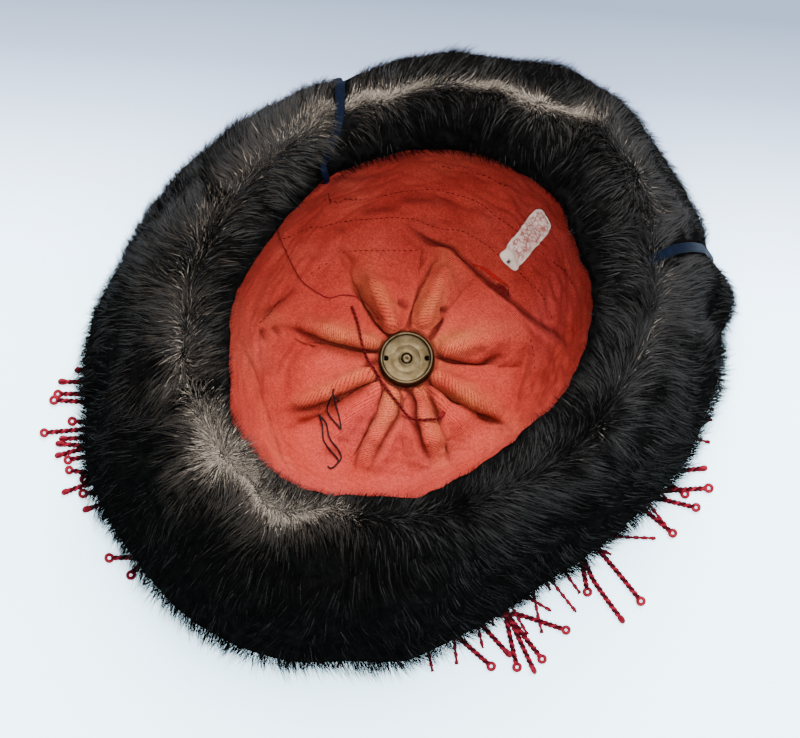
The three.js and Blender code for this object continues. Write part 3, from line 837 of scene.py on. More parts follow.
LINING_POINTS, LINING_NORMALS, LINING_CREASE_SHADE, LINING_RIDGE_HIGHLIGHT = lining_surface()
LINING_PLAN = LINING_POINTS[..., :2].reshape(-1, 2)


def cloth_spot(x, y, lift=0.0):
    """The lining's point under a spot seen from above, raised off the cloth."""
    away = ((LINING_PLAN - (x, y)) ** 2).sum(1)
    near = np.argsort(away)[:6]
    weight = 1 / (away[near] + 0.05)
    z = (LINING_POINTS.reshape(-1, 3)[near, 2] * weight).sum() / weight.sum()
    return np.array([x, y, z + lift])


def wall_spot(degrees, place, lift=0.0):
    """The lining's point at an angle and a place counted in rings, raised off the cloth."""
    column = (degrees / 360 * LINING_COLUMNS) % LINING_COLUMNS
    row = min(np.interp(place, LINING_PLACES, np.arange(LINING_ROWS)), LINING_ROWS - 1.001)
    i, j = int(row), int(column)
    cell = (i, j, (j + 1) % LINING_COLUMNS, row - i, column - j)
    return blend_cells(LINING_POINTS, *cell) + unit(blend_cells(LINING_NORMALS, *cell)) * lift


def make_lining():
    under_rows = np.arange(LINING_ROWS - 1, -1, -5)
    angle = ring(LINING_COLUMNS)
    under = lining_grid(angle, LINING_PLACES[under_rows[::-1]], -0.1)[0][::-1]
    loops = np.concatenate([LINING_POINTS, under]).transpose(1, 0, 2)
    faces = sweep_faces(*loops.shape[:2], True)
    tear = tear_shape(loops.reshape(-1, 3))
    keep = ~(tear[faces] < 1).all(1)
    piece = make_piece("lining_cloth", loops.reshape(-1, 3), [faces[keep]], [COTTON],
                       node="lining", slot="cotton")
    # Painted shade: creases darkened, and the top of the wall darkened where the fur overhangs it.
    rim = smoothstep(10.4, 12.4, LINING_PLACES)[:, None]
    crease = np.clip(LINING_CREASE_SHADE * 0.85 + 0.35 * rim, 0, 1)
    first = LINING_POINTS[:, :1]
    steps = np.linalg.norm(np.diff(first, axis=0, prepend=first[:1]), axis=-1)
    cloth = np.cumsum(steps, 0)[..., None] * ray(angle)[:, :2] * MM
    for name, values in (("ridge", LINING_RIDGE_HIGHLIGHT), ("crease", crease)):
        add_numbers(piece, name, np.concatenate([values, values[under_rows]]).T)
    add_uv(piece, np.concatenate([cloth, cloth[under_rows]]).transpose(1, 0, 2).reshape(-1, 2))


# The slit in the lining and the strip torn along it, seen from above.
TEAR = {"x": 2.0, "y": 60.5, "half_length": 7.5, "half_width": 2.6, "turn": 17 * DEG}
TORN_STRIP = [(-17.9, 58.7), (-12.3, 62.2), (-4.4, 63.8), (4.4, 65.5)]


def tear_shape(points):
    """Below 1 inside the tear's ragged outline, seen from above."""
    x, y = points[..., 0] - TEAR["x"], points[..., 1] - TEAR["y"]
    along = x * math.cos(TEAR["turn"]) + y * math.sin(TEAR["turn"])
    across = y * math.cos(TEAR["turn"]) - x * math.sin(TEAR["turn"])
    ragged = 1 + 0.25 * ripple(points, 3.5, 8)
    shape = np.hypot(along / TEAR["half_length"], across / TEAR["half_width"]) / ragged
    return np.where(points[..., 2] < CAP_DEPTH / 2, shape, 9)


# Threads, stitches and the label on the lining

# Lines of running stitches, seen from above.
STITCH_LINES = [
    [(-56.7, 67.6), (-42, 80.6), (-27.8, 87.7)],
    [(-81, 8.4), (-76.8, 20), (-72, 31), (-64.4, 48.7), (-55, 61.5), (-43.8, 71.1), (-34.2, 76.4),
     (-23, 80.3), (-10.7, 83.2), (0.5, 83.9), (12.1, 84.9), (21.9, 84.3), (30, 82)],
    [(-77.7, -16.8), (-76.3, 4.6), (-71.5, 20.5), (-66.4, 30.6), (-59.2, 41), (-50.3, 50.3),
     (-39.3, 57.9), (-30.9, 65.5), (-15.4, 70.3), (1.1, 73), (19.1, 73.4), (32.6, 68.9)],
    [(-63.6, 11.3), (-55.9, 21.5), (-48.1, 31.8), (-41.5, 41.4)],
    [(-63.7, -0.3), (-64.3, -4.7), (-64.6, -9.3)],
    [(-63.6, -26.5), (-62.2, -34.9), (-60.4, -41.8), (-58.8, -47)],
    [(33.7, 54.6), (39.6, 51.5), (45.9, 46.6)],
]
STITCH_STEP = 2.6
STITCH_LENGTH = 1.5
STITCH_RADIUS = 0.2


def make_stitches():
    made = []
    for line in STITCH_LINES:
        flat = resample_plan(line, STITCH_STEP)
        heading = unit(np.gradient(flat, axis=0))
        for index, (spot, way) in enumerate(zip(flat, heading)):
            reach = 0.5 * STITCH_LENGTH * (0.8 + 0.4 * ((index * 7) % 5) / 4)
            ends = zip((spot - way * reach, spot, spot + way * reach), (0.02, 0.2, 0.02))
            path = [cloth_spot(end[0], end[1], rise) for end, rise in ends]
            made.append(tube(path, STITCH_RADIUS, 4))
    tube_piece("lining_stitches", made, [STITCH_RED], slot="cotton")


# Loose black threads and one dark red one, seen from above.
BLACK_LOOPS = [
    [(-7.2, -52.4), (-1.3, -54.8), (5, -59.2), (10.8, -60), (17.3, -59.8), (18.9, -62.7),
     (19.1, -66), (17.2, -66.5)],
    [(-7.2, -52.4), (-1.1, -52.6), (6.6, -56.4), (13.5, -56.6), (17.3, -57.7), (18.6, -60.5)],
    [(-8.6, -41.4), (-6.9, -47), (-1.4, -49), (7, -49.1)],
    [(-8.6, -41.4), (-7.2, -41.9), (1.6, -45.9), (7, -49.1)],
    [(-10.5, -39.5), (-8.6, -41.4), (-5.5, -40.2)],
]
FRAYED_THREADS = 18
DARK_THREAD = [
    (-80.4, -16.4), (-76.9, -16.9), (-71, -16.4), (-64.3, -16.1), (-56.8, -12.8), (-50.5, -9.7),
    (-47.1, -2.6), (-40.9, 2.2), (-34.2, 3.3), (-25.2, 2.5),
]


def resting_path(line, radius, step, rounds):
    """A cord's line on the cloth: over every rise close to it, sagging little between them."""
    flat = resample_plan(line, step)
    heights = LINING_POINTS[..., 2].ravel()
    gaps = [np.hypot(*(LINING_PLAN - spot[:2]).T) for spot in flat]
    rest = np.array([heights[gap < max(1.5 * radius, gap.min() + 0.3)].max() for gap in gaps])
    rest = rest + radius + 0.1
    for _ in range(rounds):
        smooth = np.convolve(rest, (0.25, 0.5, 0.25), "same")[1:-1]
        rest[1:-1] = np.maximum(smooth, rest[1:-1])
    return np.column_stack([flat[:, :2], rest])


def thread_tube(line, radius):
    return tube(resting_path(line, radius, 0.8, 4), radius, 5)


def make_threads():
    loops = [thread_tube(line, 0.44) for line in BLACK_LOOPS]
    tube_piece("black_threads", loops, [BLACK_THREAD], slot="cotton")
    made = [thread_tube(DARK_THREAD, 0.3)]
    draw = np.random.default_rng(21)
    turn, lip = TEAR["turn"], 2.2
    for _ in range(FRAYED_THREADS):
        along = draw.uniform(-1, 1) * TEAR["half_length"]
        side = draw.choice([-1, 1])
        x = TEAR["x"] + along * math.cos(turn) - side * lip * math.sin(turn)
        y = TEAR["y"] + along * math.sin(turn) + side * lip * math.cos(turn)
        bend = draw.normal(0, 1.6, (3, 2))
        path = [cloth_spot(x, y, 0.3)]
        for dx, dy in bend:
            path.append(path[-1] + (dx, dy - side * 0.9, draw.uniform(-0.5, 0.9)))
        made.append(tube(resample(path, 0.5), 0.17, 4))
    tube_piece("frayed_threads", made, [DARK_RED], slot="cotton")


def make_torn_strip():
    flap = resample_plan(TORN_STRIP, 0.6)
    reach = 1.7 * np.sin(np.linspace(0.15, math.pi - 0.1, len(flap)))
    reach = reach * (1 + 0.3 * ripple(flap, 2.5, 23))
    edge = np.array([cloth_spot(x, y, 0.5) for x, y, _ in flap])
    fold = np.array([cloth_spot(x, y - r, 1.5) for (x, y, _), r in zip(flap, reach)])
    low = fold - (0, 0, 0.9)
    loops = np.stack([edge, (edge + fold) / 2 + (0, 0, 0.5), fold, low, edge - (0, 0, 0.4)], 1)
    torn = new_material("torn_edge", Base_Color=(0.24, 0.006, 0.007, 1), Roughness=0.9,
                        Specular_IOR_Level=0.05)
    sweep_piece("torn_strip", loops, torn, False, slot="cotton")


LABEL_SIZE = {"width": 13, "length": 53, "thickness": 0.5}
# How far the label's back lies off the cloth, and the hole near its lower end.
LABEL_BED = 0.4
LABEL_HOLE = {"spot": (0, -22.5), "half_size": (0.9, 1.7)}
# The label's lower end, middle and upper end on the wall: degrees and place.
LABEL_LINE = np.array([(93.9, 7.75), (93.1, 9.7), (91.5, 11.5)])


def both_sides(upper, under):
    """A sheet's rows over its upper side and back along its under side."""
    return np.concatenate([upper, under[:, ::-1]], 1)


def make_label():
    rows, across = 71, 25
    half, long_half = LABEL_SIZE["width"] / 2, LABEL_SIZE["length"] / 2
    top, low, flat, printed = [], [], [], []
    share = np.sin(np.linspace(-0.5, 0.5, rows) * math.pi)
    spine = spline(LABEL_LINE, share + 1)
    middles = np.array([wall_spot(degrees, place) for degrees, place in spine])
    way = unit(np.gradient(middles, axis=0))
    for (degrees, place), middle, along, v in zip(spine, middles, way, share * long_half):
        past = max(abs(v) - (long_half - half), 0)
        wide = max(math.sqrt(max(half ** 2 - past ** 2, 0)), 0.15)
        normal = unit(wall_spot(degrees, place, 1.0) - middle)
        side = np.cross(along, normal)
        radius = math.hypot(middle[0], middle[1])
        climb = (wall_spot(degrees, place + 0.2) - wall_spot(degrees, place - 0.2)) / 0.4
        for u in np.linspace(-1, 1, across) * wide:
            shift = side * u
            turn = (shift[1] * middle[0] - shift[0] * middle[1]) / radius ** 2 / DEG
            spot = (degrees + turn, place + (shift @ climb) / (climb @ climb))
            lift = LABEL_BED + 0.25 * (abs(u) / half) ** 3
            top.append(wall_spot(*spot, lift + LABEL_SIZE["thickness"]))
            low.append(wall_spot(*spot, lift))
            flat.append((u * MM, v * MM))
            edge = min(wide - abs(u), long_half - abs(v))
            printed.append(0.9 if edge > 1.6 and v > -0.22 * LABEL_SIZE["length"] else 0.15)
    top, low = (np.array(side).reshape(rows, across, 3) for side in (top, low))
    piece = sweep_piece("label_cloth", both_sides(top, low), LABEL, False,
                        node="label", slot="label_cloth")
    flat = np.array(flat).reshape(rows, across, 2)
    add_uv(piece, both_sides(flat, flat).reshape(-1, 2))
    printed = np.array(printed).reshape(rows, across)
    add_numbers(piece, "print", both_sides(printed, printed))
    # The hole is painted dark as shade, on the upper side only.
    gap = np.abs(flat / MM - LABEL_HOLE["spot"]) / LABEL_HOLE["half_size"]
    hole_shade = np.clip(1.6 - gap.max(-1), 0, 1)
    add_numbers(piece, "hole_shade", both_sides(hole_shade, 0 * hole_shade))


CORD_RADIUS = 0.8


def make_loose_cord():
    """The thin twisted cord that lies on the pleats."""
    path = resting_path(CORD_ROUTE, CORD_RADIUS, 0.5, 30)
    tubes = plies(path, CORD_RADIUS, 2.8)
    tubes.append(tube(path[-7:], CORD_RADIUS * 1.25, 8))
    # The second ply takes the darker copy, as painted shade between the plies.
    piece = tube_piece("loose_cord_plies", tubes, [DARK_RED, DARK_RED_SHADED], (0, 1, 0),
                       node="loose_cord", slot="fringe_silk")


# The crown and the band

CROWN_COLUMNS = 200
BAND_COLUMNS = 120


def make_crown():
    angles = ring(CROWN_COLUMNS)
    places = LINING_PLACES[::4]
    over = lining_grid(angles, places, -0.7)[0]
    under = lining_grid(angles, places, -CROWN_SKIN)[0]
    loops = np.concatenate([over, under[::-1]]).transpose(1, 0, 2)
    sweep_piece("crown_shell", loops, SATIN, node="crown", slot="satin")


# How far the real brim's outer edge lies beyond the plain oval: degrees and millimetres.
OUTER_SHIFT = [
    (0, -5), (10, -3), (20, 1), (30, 5), (40, 4), (48, 6), (54, 3), (60, 9), (70, 1), (80, -1),
    (90, 1), (100, 8), (110, 9), (120, 6), (130, 8), (140, 7), (150, 2), (158, 6), (170, 7),
    (180, 8), (190, 9), (200, 8), (210, 6), (220, 8), (230, 6), (240, 3), (250, 5), (260, 1),
    (270, 0), (280, 2), (290, 3), (300, 3), (310, 0), (320, 3), (330, -2), (340, -5), (350, -8),
]
# The same for the opening's edge; below zero the fur closes in over the lining.
INNER_SHIFT = [
    (0, -3.5), (10, -3.5), (20, 0), (50, 0), (60, 0), (70, -4), (80, -4), (90, 0), (105, -2),
    (120, 1), (135, 1.5), (150, 1.5), (165, 2), (180, -2), (200, -4), (225, -3), (240, -5),
    (250, -4.5), (260, 2), (275, 2.5), (290, 1.5), (310, -2.5), (320, 1), (340, -2.5),
]


def smooth_ring(values, steps=6):
    """Softens the corners of values given round the whole ring."""
    for _ in range(steps):
        values = 0.5 * values + 0.25 * (np.roll(values, 1) + np.roll(values, -1))
    return values


def band_rows(angles):
    """Points of the band's middle line at each bend for each angle; the bends come first."""
    rows = []
    outer_shift = smooth_ring(ring_table(OUTER_SHIFT, angles / DEG))
    for span, height in BAND_BENDS:
        start, end = (BAND_RIM, CREST) if span < 1 else (CREST, EDGE)
        share = span if span < 1 else span - 1
        first, second = oval_radius(start, angles), oval_radius(end, angles)
        spot = polar(first + (second - first) * share, angles, EDGE_LIFT + BAND_HEIGHT * height)
        spot[:, 1] += start["back"] + (end["back"] - start["back"]) * share
        spot += ray(angles) * (outer_shift * smoothstep(1, 1.85, span))[:, None]
        rows.append(spot)
    return np.array(rows)


def section_normals(points, angles):
    """For a grid of sections, the direction away from the band's inner side."""
    run = np.gradient(points, axis=0)
    outward = ray(angles)[None]
    across = (run * outward).sum(-1, keepdims=True)
    return unit(across * np.array([0, 0, 1.0]) - outward * run[..., 2:])


def make_band():
    angles = ring(BAND_COLUMNS)
    line = spline(band_rows(angles), np.linspace(0, len(BAND_BENDS) - 1, 30))
    half = section_normals(line, angles) * (BAND_WALL / 2)
    loops = np.concatenate([line + half, (line - half)[::-1]]).transpose(1, 0, 2)
    sweep_piece("band_cloth", loops, SATIN, node="brim_band", slot="satin")


# The hide under the hair, as one fine grid over the whole brim

HIDE_COLUMNS = 720
HIDE_STEPS = 12
CREST_ROW = 4 * HIDE_STEPS


def hide_lumps(points, row):
    """The brim's own softness: broad shallow swells that fade at both ends of the hide."""
    fade = smoothstep(20, 44, row) * (1 - smoothstep(88, 104, row))
    return fade * (1.6 + 1.5 * ripple(points, 70, 61) + 0.6 * ripple(points, 26, 62))


def hide_grid():
    """The hide's points and normals; rows run from its end inside the cap to its outer tip."""
    angles = ring(HIDE_COLUMNS)
    tuck = FUR_TUCK / (CAP_DEPTH * (1 - CAP_RINGS[-2, 1]))
    rows = spline(cap_rows(angles), np.array([RIM_PLACE - tuck, RIM_PLACE]))
    inner = polar(rows[..., 0] - LINING_WALL - PIECE_GAP - 0.4, angles[None], rows[..., 1])
    inner[..., 2] += PIECE_GAP
    band = band_rows(angles)
    band = band + section_normals(band, angles) * (BAND_WALL / 2 + HIDE_GAP)
    drop = unit(band[-1] - band[-2]) * FUR_OVERHANG
    marks = np.concatenate([inner, band[1:], (band[-1] + drop)[None]])
    points = spline(marks, np.linspace(0, len(marks) - 1, (len(marks) - 1) * HIDE_STEPS + 1))
    row = np.arange(len(points))[:, None]
    shift = smooth_ring(ring_table(INNER_SHIFT, angles / DEG)) * smoothstep(0, 10, row)
    shift = shift * (1 - smoothstep(24, CREST_ROW, row))
    points = points + ray(angles) * shift[..., None]
    points = points + section_normals(points, angles) * hide_lumps(points, row)[..., None]
    return points, section_normals(points, angles)


HIDE_POINTS, HIDE_NORMALS = hide_grid()
HIDE_ROWS = len(HIDE_POINTS)

# The parting of the fur: degrees, and how far it lies outside the crest in grid rows.
PARTING = [
    (0, 0), (16, 3), (35, 4), (53, 6), (70, 7), (88, 11), (96, 13), (101, 10), (108, 3), (116, 2),
    (125, 4), (132, 4), (138, 6), (149, 4), (159, 6), (166, 6), (180, 4), (206, 6), (222, 4),
    (233, 1), (249, 0), (259, 0), (265, 2), (269, 1), (273, 0), (277, 0), (281, 2), (288, 3),
    (291, 1), (296, -2), (300, -3), (332, -3),
]
# How much pale underfur shows at the parting, and how widely: degrees, share, half width in rows.
PALE = np.array([
    (0, 0, 3), (60, 0.05, 3), (94, 0.08, 3), (98, 0.7, 3), (101, 1.3, 3.4), (105, 0.9, 2.6),
    (110, 1.5, 2.8), (117, 1.1, 2.4), (124, 1.3, 2.6), (127, 0.8, 2.4), (130, 0.4, 2.6),
    (135, 0.4, 2.6), (139, 0.8, 3), (146, 1.2, 3.4), (153, 1.4, 3.8), (158, 1.2, 4),
    (161, 0.4, 4), (168, 0.4, 6), (173, 0.35, 6), (180, 0.2, 6), (205, 0.12, 6), (228, 0.08, 6),
    (240, 0.14, 6),
    (256, 0.25, 5), (261, 0.8, 6), (265, 1.4, 8), (269, 1.5, 8), (272, 1.5, 5.5), (277, 1.3, 4),
    (281, 1.1, 3.6), (286, 1.5, 5), (290, 1.5, 4.6), (295, 1.1, 2.8), (300, 0.4, 2.4), (306, 0, 3),
])
PALE_WIDTH = PALE[:, [0, 2]]
# The soft grey or brown bloom round the parting, partly underfur showing and partly a painted sheen: degrees
# and share.
BLOOM = [
    (0, 0.15), (30, 0.3), (50, 0.75), (80, 0.75), (100, 0.5), (110, 0.25), (122, 0.3), (135, 0.2),
    (150, 0.3), (162, 0.7), (175, 0.85), (190, 0.75), (208, 0.75), (225, 0.75), (240, 0.85),
    (252, 0.8), (262, 0.9), (280, 0.95), (292, 0.9), (302, 0.5), (312, 0.2), (330, 0.1),
]
# How much of the outer fur gets lighter smoke hairs as a painted soft grey sheen: degrees and share.
SHEEN = [
    (0, 0.6), (20, 0.75), (45, 1.1), (70, 1.0), (90, 0.5), (110, 0.15), (135, 0.12), (155, 0.45),
    (175, 1.1), (205, 1.3), (220, 1.0), (235, 0.65), (250, 0.25), (265, 0.06), (285, 0.02),
    (310, 0.04), (330, 0.35), (345, 0.6),
]
# Where the hair turns outwards from one spot, and how far the turn reaches.
WHORL = {"degrees": 268.5, "row": CREST_ROW + 1, "reach": 13}
# The line each ribbon takes over the fur: row, degrees.
RIBBON_LINES = {
    "ribbon_left": [(0, 170), (16, 169), (31, 166.5), (44, 163.5), (56, 159.8), (72, 155.8), (107, 152.5)],
    "ribbon_right": [(0, 55), (30, 56.5), (41, 57.8), (46, 59), (53, 61.4), (62, 63.7), (71, 65), (97, 68.4),
                     (107, 69)],
}
# Whether a ribbon goes under the fur inside the crest, and how far the ribbons lie off the hide.
RIBBON_SINKS = {"ribbon_left": False, "ribbon_right": True}
RIBBON_BED = 3.2


def read_hide(table, degrees, row):
    """Reads a hide table at angles in degrees and at rows, between its grid points."""
    column = (degrees % 360) / 360 * HIDE_COLUMNS
    j = np.floor(column).astype(int) % HIDE_COLUMNS
    row = np.clip(row, 0, HIDE_ROWS - 1.001)
    i = np.floor(row).astype(int)
    u, v = (row - i)[..., None], (column - np.floor(column))[..., None]
    return blend_cells(table, i, j, (j + 1) % HIDE_COLUMNS, u, v)


def hide_spot(degrees, row):
    """The hide's points and normals at angles in degrees and at rows."""
    return read_hide(HIDE_POINTS, degrees, row), unit(read_hide(HIDE_NORMALS, degrees, row))


def ribbon_degrees(name, row):
    """A ribbon's angle at a row."""
    line = np.array(RIBBON_LINES[name])
    return np.interp(row, line[:, 0], line[:, 1])


def ribbon_press(degrees, row):
    """From 0 under a ribbon to 1 well away from both."""
    press = np.ones(np.broadcast(degrees, row).shape)
    for name in RIBBON_LINES:
        away = (degrees - ribbon_degrees(name, row) + 180) % 360 - 180
        shown = smoothstep(CREST_ROW - 6, CREST_ROW + 8, row) if RIBBON_SINKS[name] else 1.0
        press = press * (1 - shown * bell(away, 2.5))
    return press


def make_hide():
    degrees = np.arange(0, 360, 1.2)
    count = 60
    rows = np.linspace(0, HIDE_ROWS - 1, count)
    back = np.arange(count - 1, -1, -4)[:14]
    grid_degrees, grid_rows = np.meshgrid(degrees, rows)
    points, normals = hide_spot(grid_degrees, grid_rows)
    ends = smoothstep(0, 10, grid_rows) * (1 - smoothstep(HIDE_ROWS - 14, HIDE_ROWS - 1, grid_rows))
    depth = 0.8 + 2.6 * ends * (0.35 + 0.65 * ribbon_press(grid_degrees, grid_rows))
    depth = depth + 0.5 * ends * ripple(points, 11, 31)
    over = points + normals * depth[..., None]
    loops = np.concatenate([over, points[back]]).transpose(1, 0, 2)
    piece = sweep_piece("fur_hide", loops, HIDE, node="brim_fur", slot="fur")
    pale = ring_table(PALE, grid_degrees)
    away = (grid_rows - parting_row(grid_degrees)) / ring_table(PALE_WIDTH, grid_degrees)
    light = np.exp(-(1.5 * away) ** 2) * np.clip((pale - 0.25) / 0.75, 0, 1) * 0.2
    add_numbers(piece, "light", np.concatenate([light, light[back]]).T)


def parting_row(degrees):
    turn = degrees * DEG
    wander = 0.8 * np.sin(9 * turn + 1) + 0.6 * np.sin(17 * turn + 4) + 0.4 * np.sin(31 * turn)
    return CREST_ROW + ring_table(PARTING, degrees) + wander


# Hair

# The lowest that a hair may reach, just above the floor.
HAIR_LOWEST = 0.6
# How far the roots of messy hairs stray from the parting, in rows.
MESS_SPREAD = 3.4


def spread_roots(count, draw, row_from, row_to):
    """Roots spread evenly over a stretch of the hide: their degrees and rows."""
    across, along = np.diff(HIDE_POINTS, axis=0)[:, :-1], np.diff(HIDE_POINTS, axis=1)[:-1]
    cell = np.linalg.norm(np.cross(across, along), axis=-1)
    row = np.arange(HIDE_ROWS - 1)
    area = cell.sum(1) * (row >= row_from) * (row < row_to)
    total = np.concatenate([[0], np.cumsum(area) / area.sum()])
    rows = np.interp(draw.uniform(0, 1, count), total, np.arange(HIDE_ROWS))
    by_angle = cell[int((row_from + row_to) / 2)]
    total = np.concatenate([[0], np.cumsum(by_angle) / by_angle.sum()])
    degrees = np.interp(draw.uniform(0, 1, count), total, np.linspace(0, 360, len(total)))
    return degrees, rows


def hide_way(degrees, rows, turn, step):
    """The unit direction in which the hide runs for a small turn in degrees and step in rows."""
    ahead = read_hide(HIDE_POINTS, degrees + turn, rows + step)
    return unit(ahead - read_hide(HIDE_POINTS, degrees - turn, rows - step))


def nap(degrees, rows):
    """The hair's heading along the hide and its lift off it, at any root."""
    along, around = hide_way(degrees, rows, 0, 1.5), hide_way(degrees, rows, 0.5, 0)
    place, normal = hide_spot(degrees, rows)
    away = rows - parting_row(degrees)
    outer = np.tanh(away / 5.0)
    turn = -np.sin((degrees - 90) * DEG)
    sweep = np.where(away > 0, 0.55, 0.9) * turn * (1 - 0.35 * smoothstep(30, 60, away))
    swirl = 0.3 * ripple(place, 60, 41) + 0.22 * ripple(place, 22, 42)
    heading = unit(along * outer[:, None] + around * (sweep + swirl)[:, None])
    centre = read_hide(HIDE_POINTS, np.array([WHORL["degrees"]]), np.array([WHORL["row"]]))
    from_centre = place - centre
    reach = np.linalg.norm(from_centre, axis=1)
    pull = (3 * bell(reach, WHORL["reach"]))[:, None]
    heading = unit(heading + pull * (from_centre / np.maximum(reach, 1)[:, None]))
    lift = 0.2 + 0.5 * bell(away, 6) + 0.1 * ripple(place, 35, 43)
    return place, normal, heading, np.clip(lift, 0.1, 1.1)


def lean(heading, normal, angle):
    """The heading turned up towards the normal by an angle."""
    return heading * np.cos(angle)[:, None] + normal * np.sin(angle)[:, None]


def hair_tips(degrees, rows, length):
    """Middle and tip of each hair, which rises from its root and then lies down."""
    place, normal, heading, lift = nap(degrees, rows)
    place = place + normal * (3.1 * bell(rows - parting_row(degrees), 9))[:, None]
    middle = place + lean(heading, normal, lift + 0.28) * (0.45 * length)[:, None]
    tip = middle + lean(heading, normal, lift * 0.75 - 0.05) * (0.55 * length)[:, None]
    return place, normal, middle, tip


def clump_pull(degrees, rows, middle, tip, length, size, strength, draw):
    """Draws hairs of one tuft towards the tuft's own tip."""
    across, bands, step = max(int(820 / size), 8), 64, size * 0.95
    shift = draw.uniform(0.15, 0.85, (across, bands, 2))
    column = np.floor(degrees / 360 * across).astype(int) % across
    band = np.clip(np.floor(rows / step).astype(int), 0, bands - 1)
    tuft_degrees = (column + shift[column, band, 0]) / across * 360
    tuft_rows = (band + shift[column, band, 1]) * step
    _, _, tuft_middle, tuft_tip = hair_tips(tuft_degrees, tuft_rows, length)
    reach = np.linalg.norm(tuft_tip - tip, axis=1)
    pull = (strength * bell(reach, 2.2 * size))[:, None]
    return middle + (tuft_middle - middle) * pull * 0.35, tip + (tuft_tip - tip) * pull


def make_hair(name, count, seed, row_from, row_to, length, width, tuft, strength, mess=0.0):
    """One piece of hair: thin bent blades, each of two triangles, widest at the bend."""
    draw = np.random.default_rng(seed)
    degrees, rows = spread_roots(count, draw, row_from, row_to)
    if mess:
        rows = parting_row(degrees) + draw.normal(0, MESS_SPREAD, count)
    press = ribbon_press(degrees, rows)
    kept = draw.uniform(0, 1, count) < 0.25 + 0.75 * press
    degrees, rows, press = degrees[kept], rows[kept], press[kept]
    count = len(degrees)
    away = rows - parting_row(degrees)
    short = 1 - (0.35 + 0.3 * np.clip(ring_table(PALE, degrees), 0, 1)) * bell(away, 6)
    inside = 0.6 + 0.4 * smoothstep(8, 40, rows)
    size = length * short * inside * draw.uniform(0.6, 1.25, count) * (0.12 + 0.88 * press)
    place, normal, middle, tip = hair_tips(degrees, rows, size)
    strength = strength * (1 + 0.9 * smoothstep(20, 45, away))
    middle, tip = clump_pull(degrees, rows, middle, tip, size, tuft, strength, draw)
    loose = draw.normal(0, 1, (count, 3)) * (size * (0.055 + mess))[:, None]
    middle, tip = middle + loose * 0.4, tip + loose
    for points in (middle, tip):
        points[:, 2] = np.maximum(points[:, 2], HAIR_LOWEST)
    roll = draw.normal(0, 0.6, count)
    way = unit(tip - place)
    side = unit(np.cross(way, normal))
    side = unit(lean(side, np.cross(way, side), roll))
    half = (0.5 * width * draw.uniform(0.6, 1.3, count))[:, None]
    points = np.stack([place + normal * 0.2, middle + side * half, middle - side * half, tip], 1)
    first = (np.arange(count) * 4)[:, None]
    faces = np.concatenate([first + np.array([0, 1, 2]), first + np.array([2, 1, 3])])
    shades = np.concatenate(hair_slots(degrees, rows, draw))
    make_piece(name, points.reshape(-1, 3), [faces], HAIRS, shades, slot="fur")


def hair_slots(degrees, rows, draw):
    """The shade of each hair's root and tip: pale underfur at the parting, lighter hairs as a painted sheen,
    black elsewhere.
    """
    black, dark, smoke, grey, brown, beige, pale_shade = range(7)
    away = rows - parting_row(degrees)
    pale, width = ring_table(PALE, degrees), ring_table(PALE_WIDTH, degrees)
    place = read_hide(HIDE_POINTS, degrees, rows)
    clouds = ripple(place, 44, 51) + 0.7 * ripple(place, 17, 52)
    sheen = ring_table(SHEEN, degrees) * smoothstep(-1.7, 0.7, clouds) * bell(away - 8, 26)
    bloom = ring_table(BLOOM, degrees) * smoothstep(-1.4, 0.9, ripple(place, 24, 53))
    reach = 11 - 4 * smoothstep(245, 262, degrees) * (1 - smoothstep(305, 330, degrees))
    bloom = bloom * bell(away - 2, reach)
    first, second, third, fourth, fifth = draw.uniform(0, 1, (5, len(degrees)))
    # Mostly black and dark hairs; the rare smoke and grey ones are painted glints.
    plain = np.select([first < 0.7, first < 0.97, first < 0.994], [black, dark, smoke], grey)
    warm = (degrees > 150) & (degrees < 310)
    soft = np.select([fourth < 0.3, fourth < 0.94], [dark, np.where(warm, brown, smoke)], grey)
    # Painted sheen: where the sheen share is high, hairs take the lighter smoke shade.
    shade = np.where(third < sheen, np.where(fourth < 0.3, dark, smoke), plain)
    shade = np.where(fifth < bloom, soft, shade)
    stripe = smoothstep(98, 108, degrees) * (1 - smoothstep(155, 165, degrees))
    near, far = bell(away, width), bell(away, (2.2 - 0.8 * stripe) * width)
    root = np.where(second < 0.5 * pale * far, brown, shade)
    underfur = np.where(third < 0.45, pale_shade, beige)
    root = np.where(second < 1.2 * pale * near ** 1.5, underfur, root)
    tip = np.where(fourth < 0.6 * pale * far, brown, shade)
    underfur = np.where(third < 0.25, pale_shade, beige)
    tip = np.where(fourth < 0.62 * pale * near ** 2.5, underfur, tip)
    return root, tip


# Name, count, seed, first and last row, length, width, tuft size, strength of the tufts, mess.
# The mess gathers hairs at the parting and sends them in all directions.
HAIR_PIECES = [
    ("fur_under", 42000, 101, 4, HIDE_ROWS - 1, 10.5, 0.46, 5.0, 0.45),
    ("fur_crest", 44000, 105, 36, 68, 9.5, 0.15, 3.2, 0.3),
    ("fur_parting", 42000, 106, 36, 68, 9, 0.18, 3.2, 0.2, 0.17),
    ("fur_outer_a", 64000, 102, 46, HIDE_ROWS - 1, 17, 0.18, 2.8, 0.32),
    ("fur_edge", 9000, 107, HIDE_ROWS - 23, HIDE_ROWS - 1, 13, 0.32, 3.2, 0.38),
    ("fur_outer_b", 52000, 103, 60, HIDE_ROWS - 1, 17, 0.14, 6.5, 0.35),
    ("fur_inner", 42000, 104, 1, 62, 13, 0.17, 4.2, 0.5),
]


def make_fur():
    for settings in HAIR_PIECES:
        make_hair(*settings)


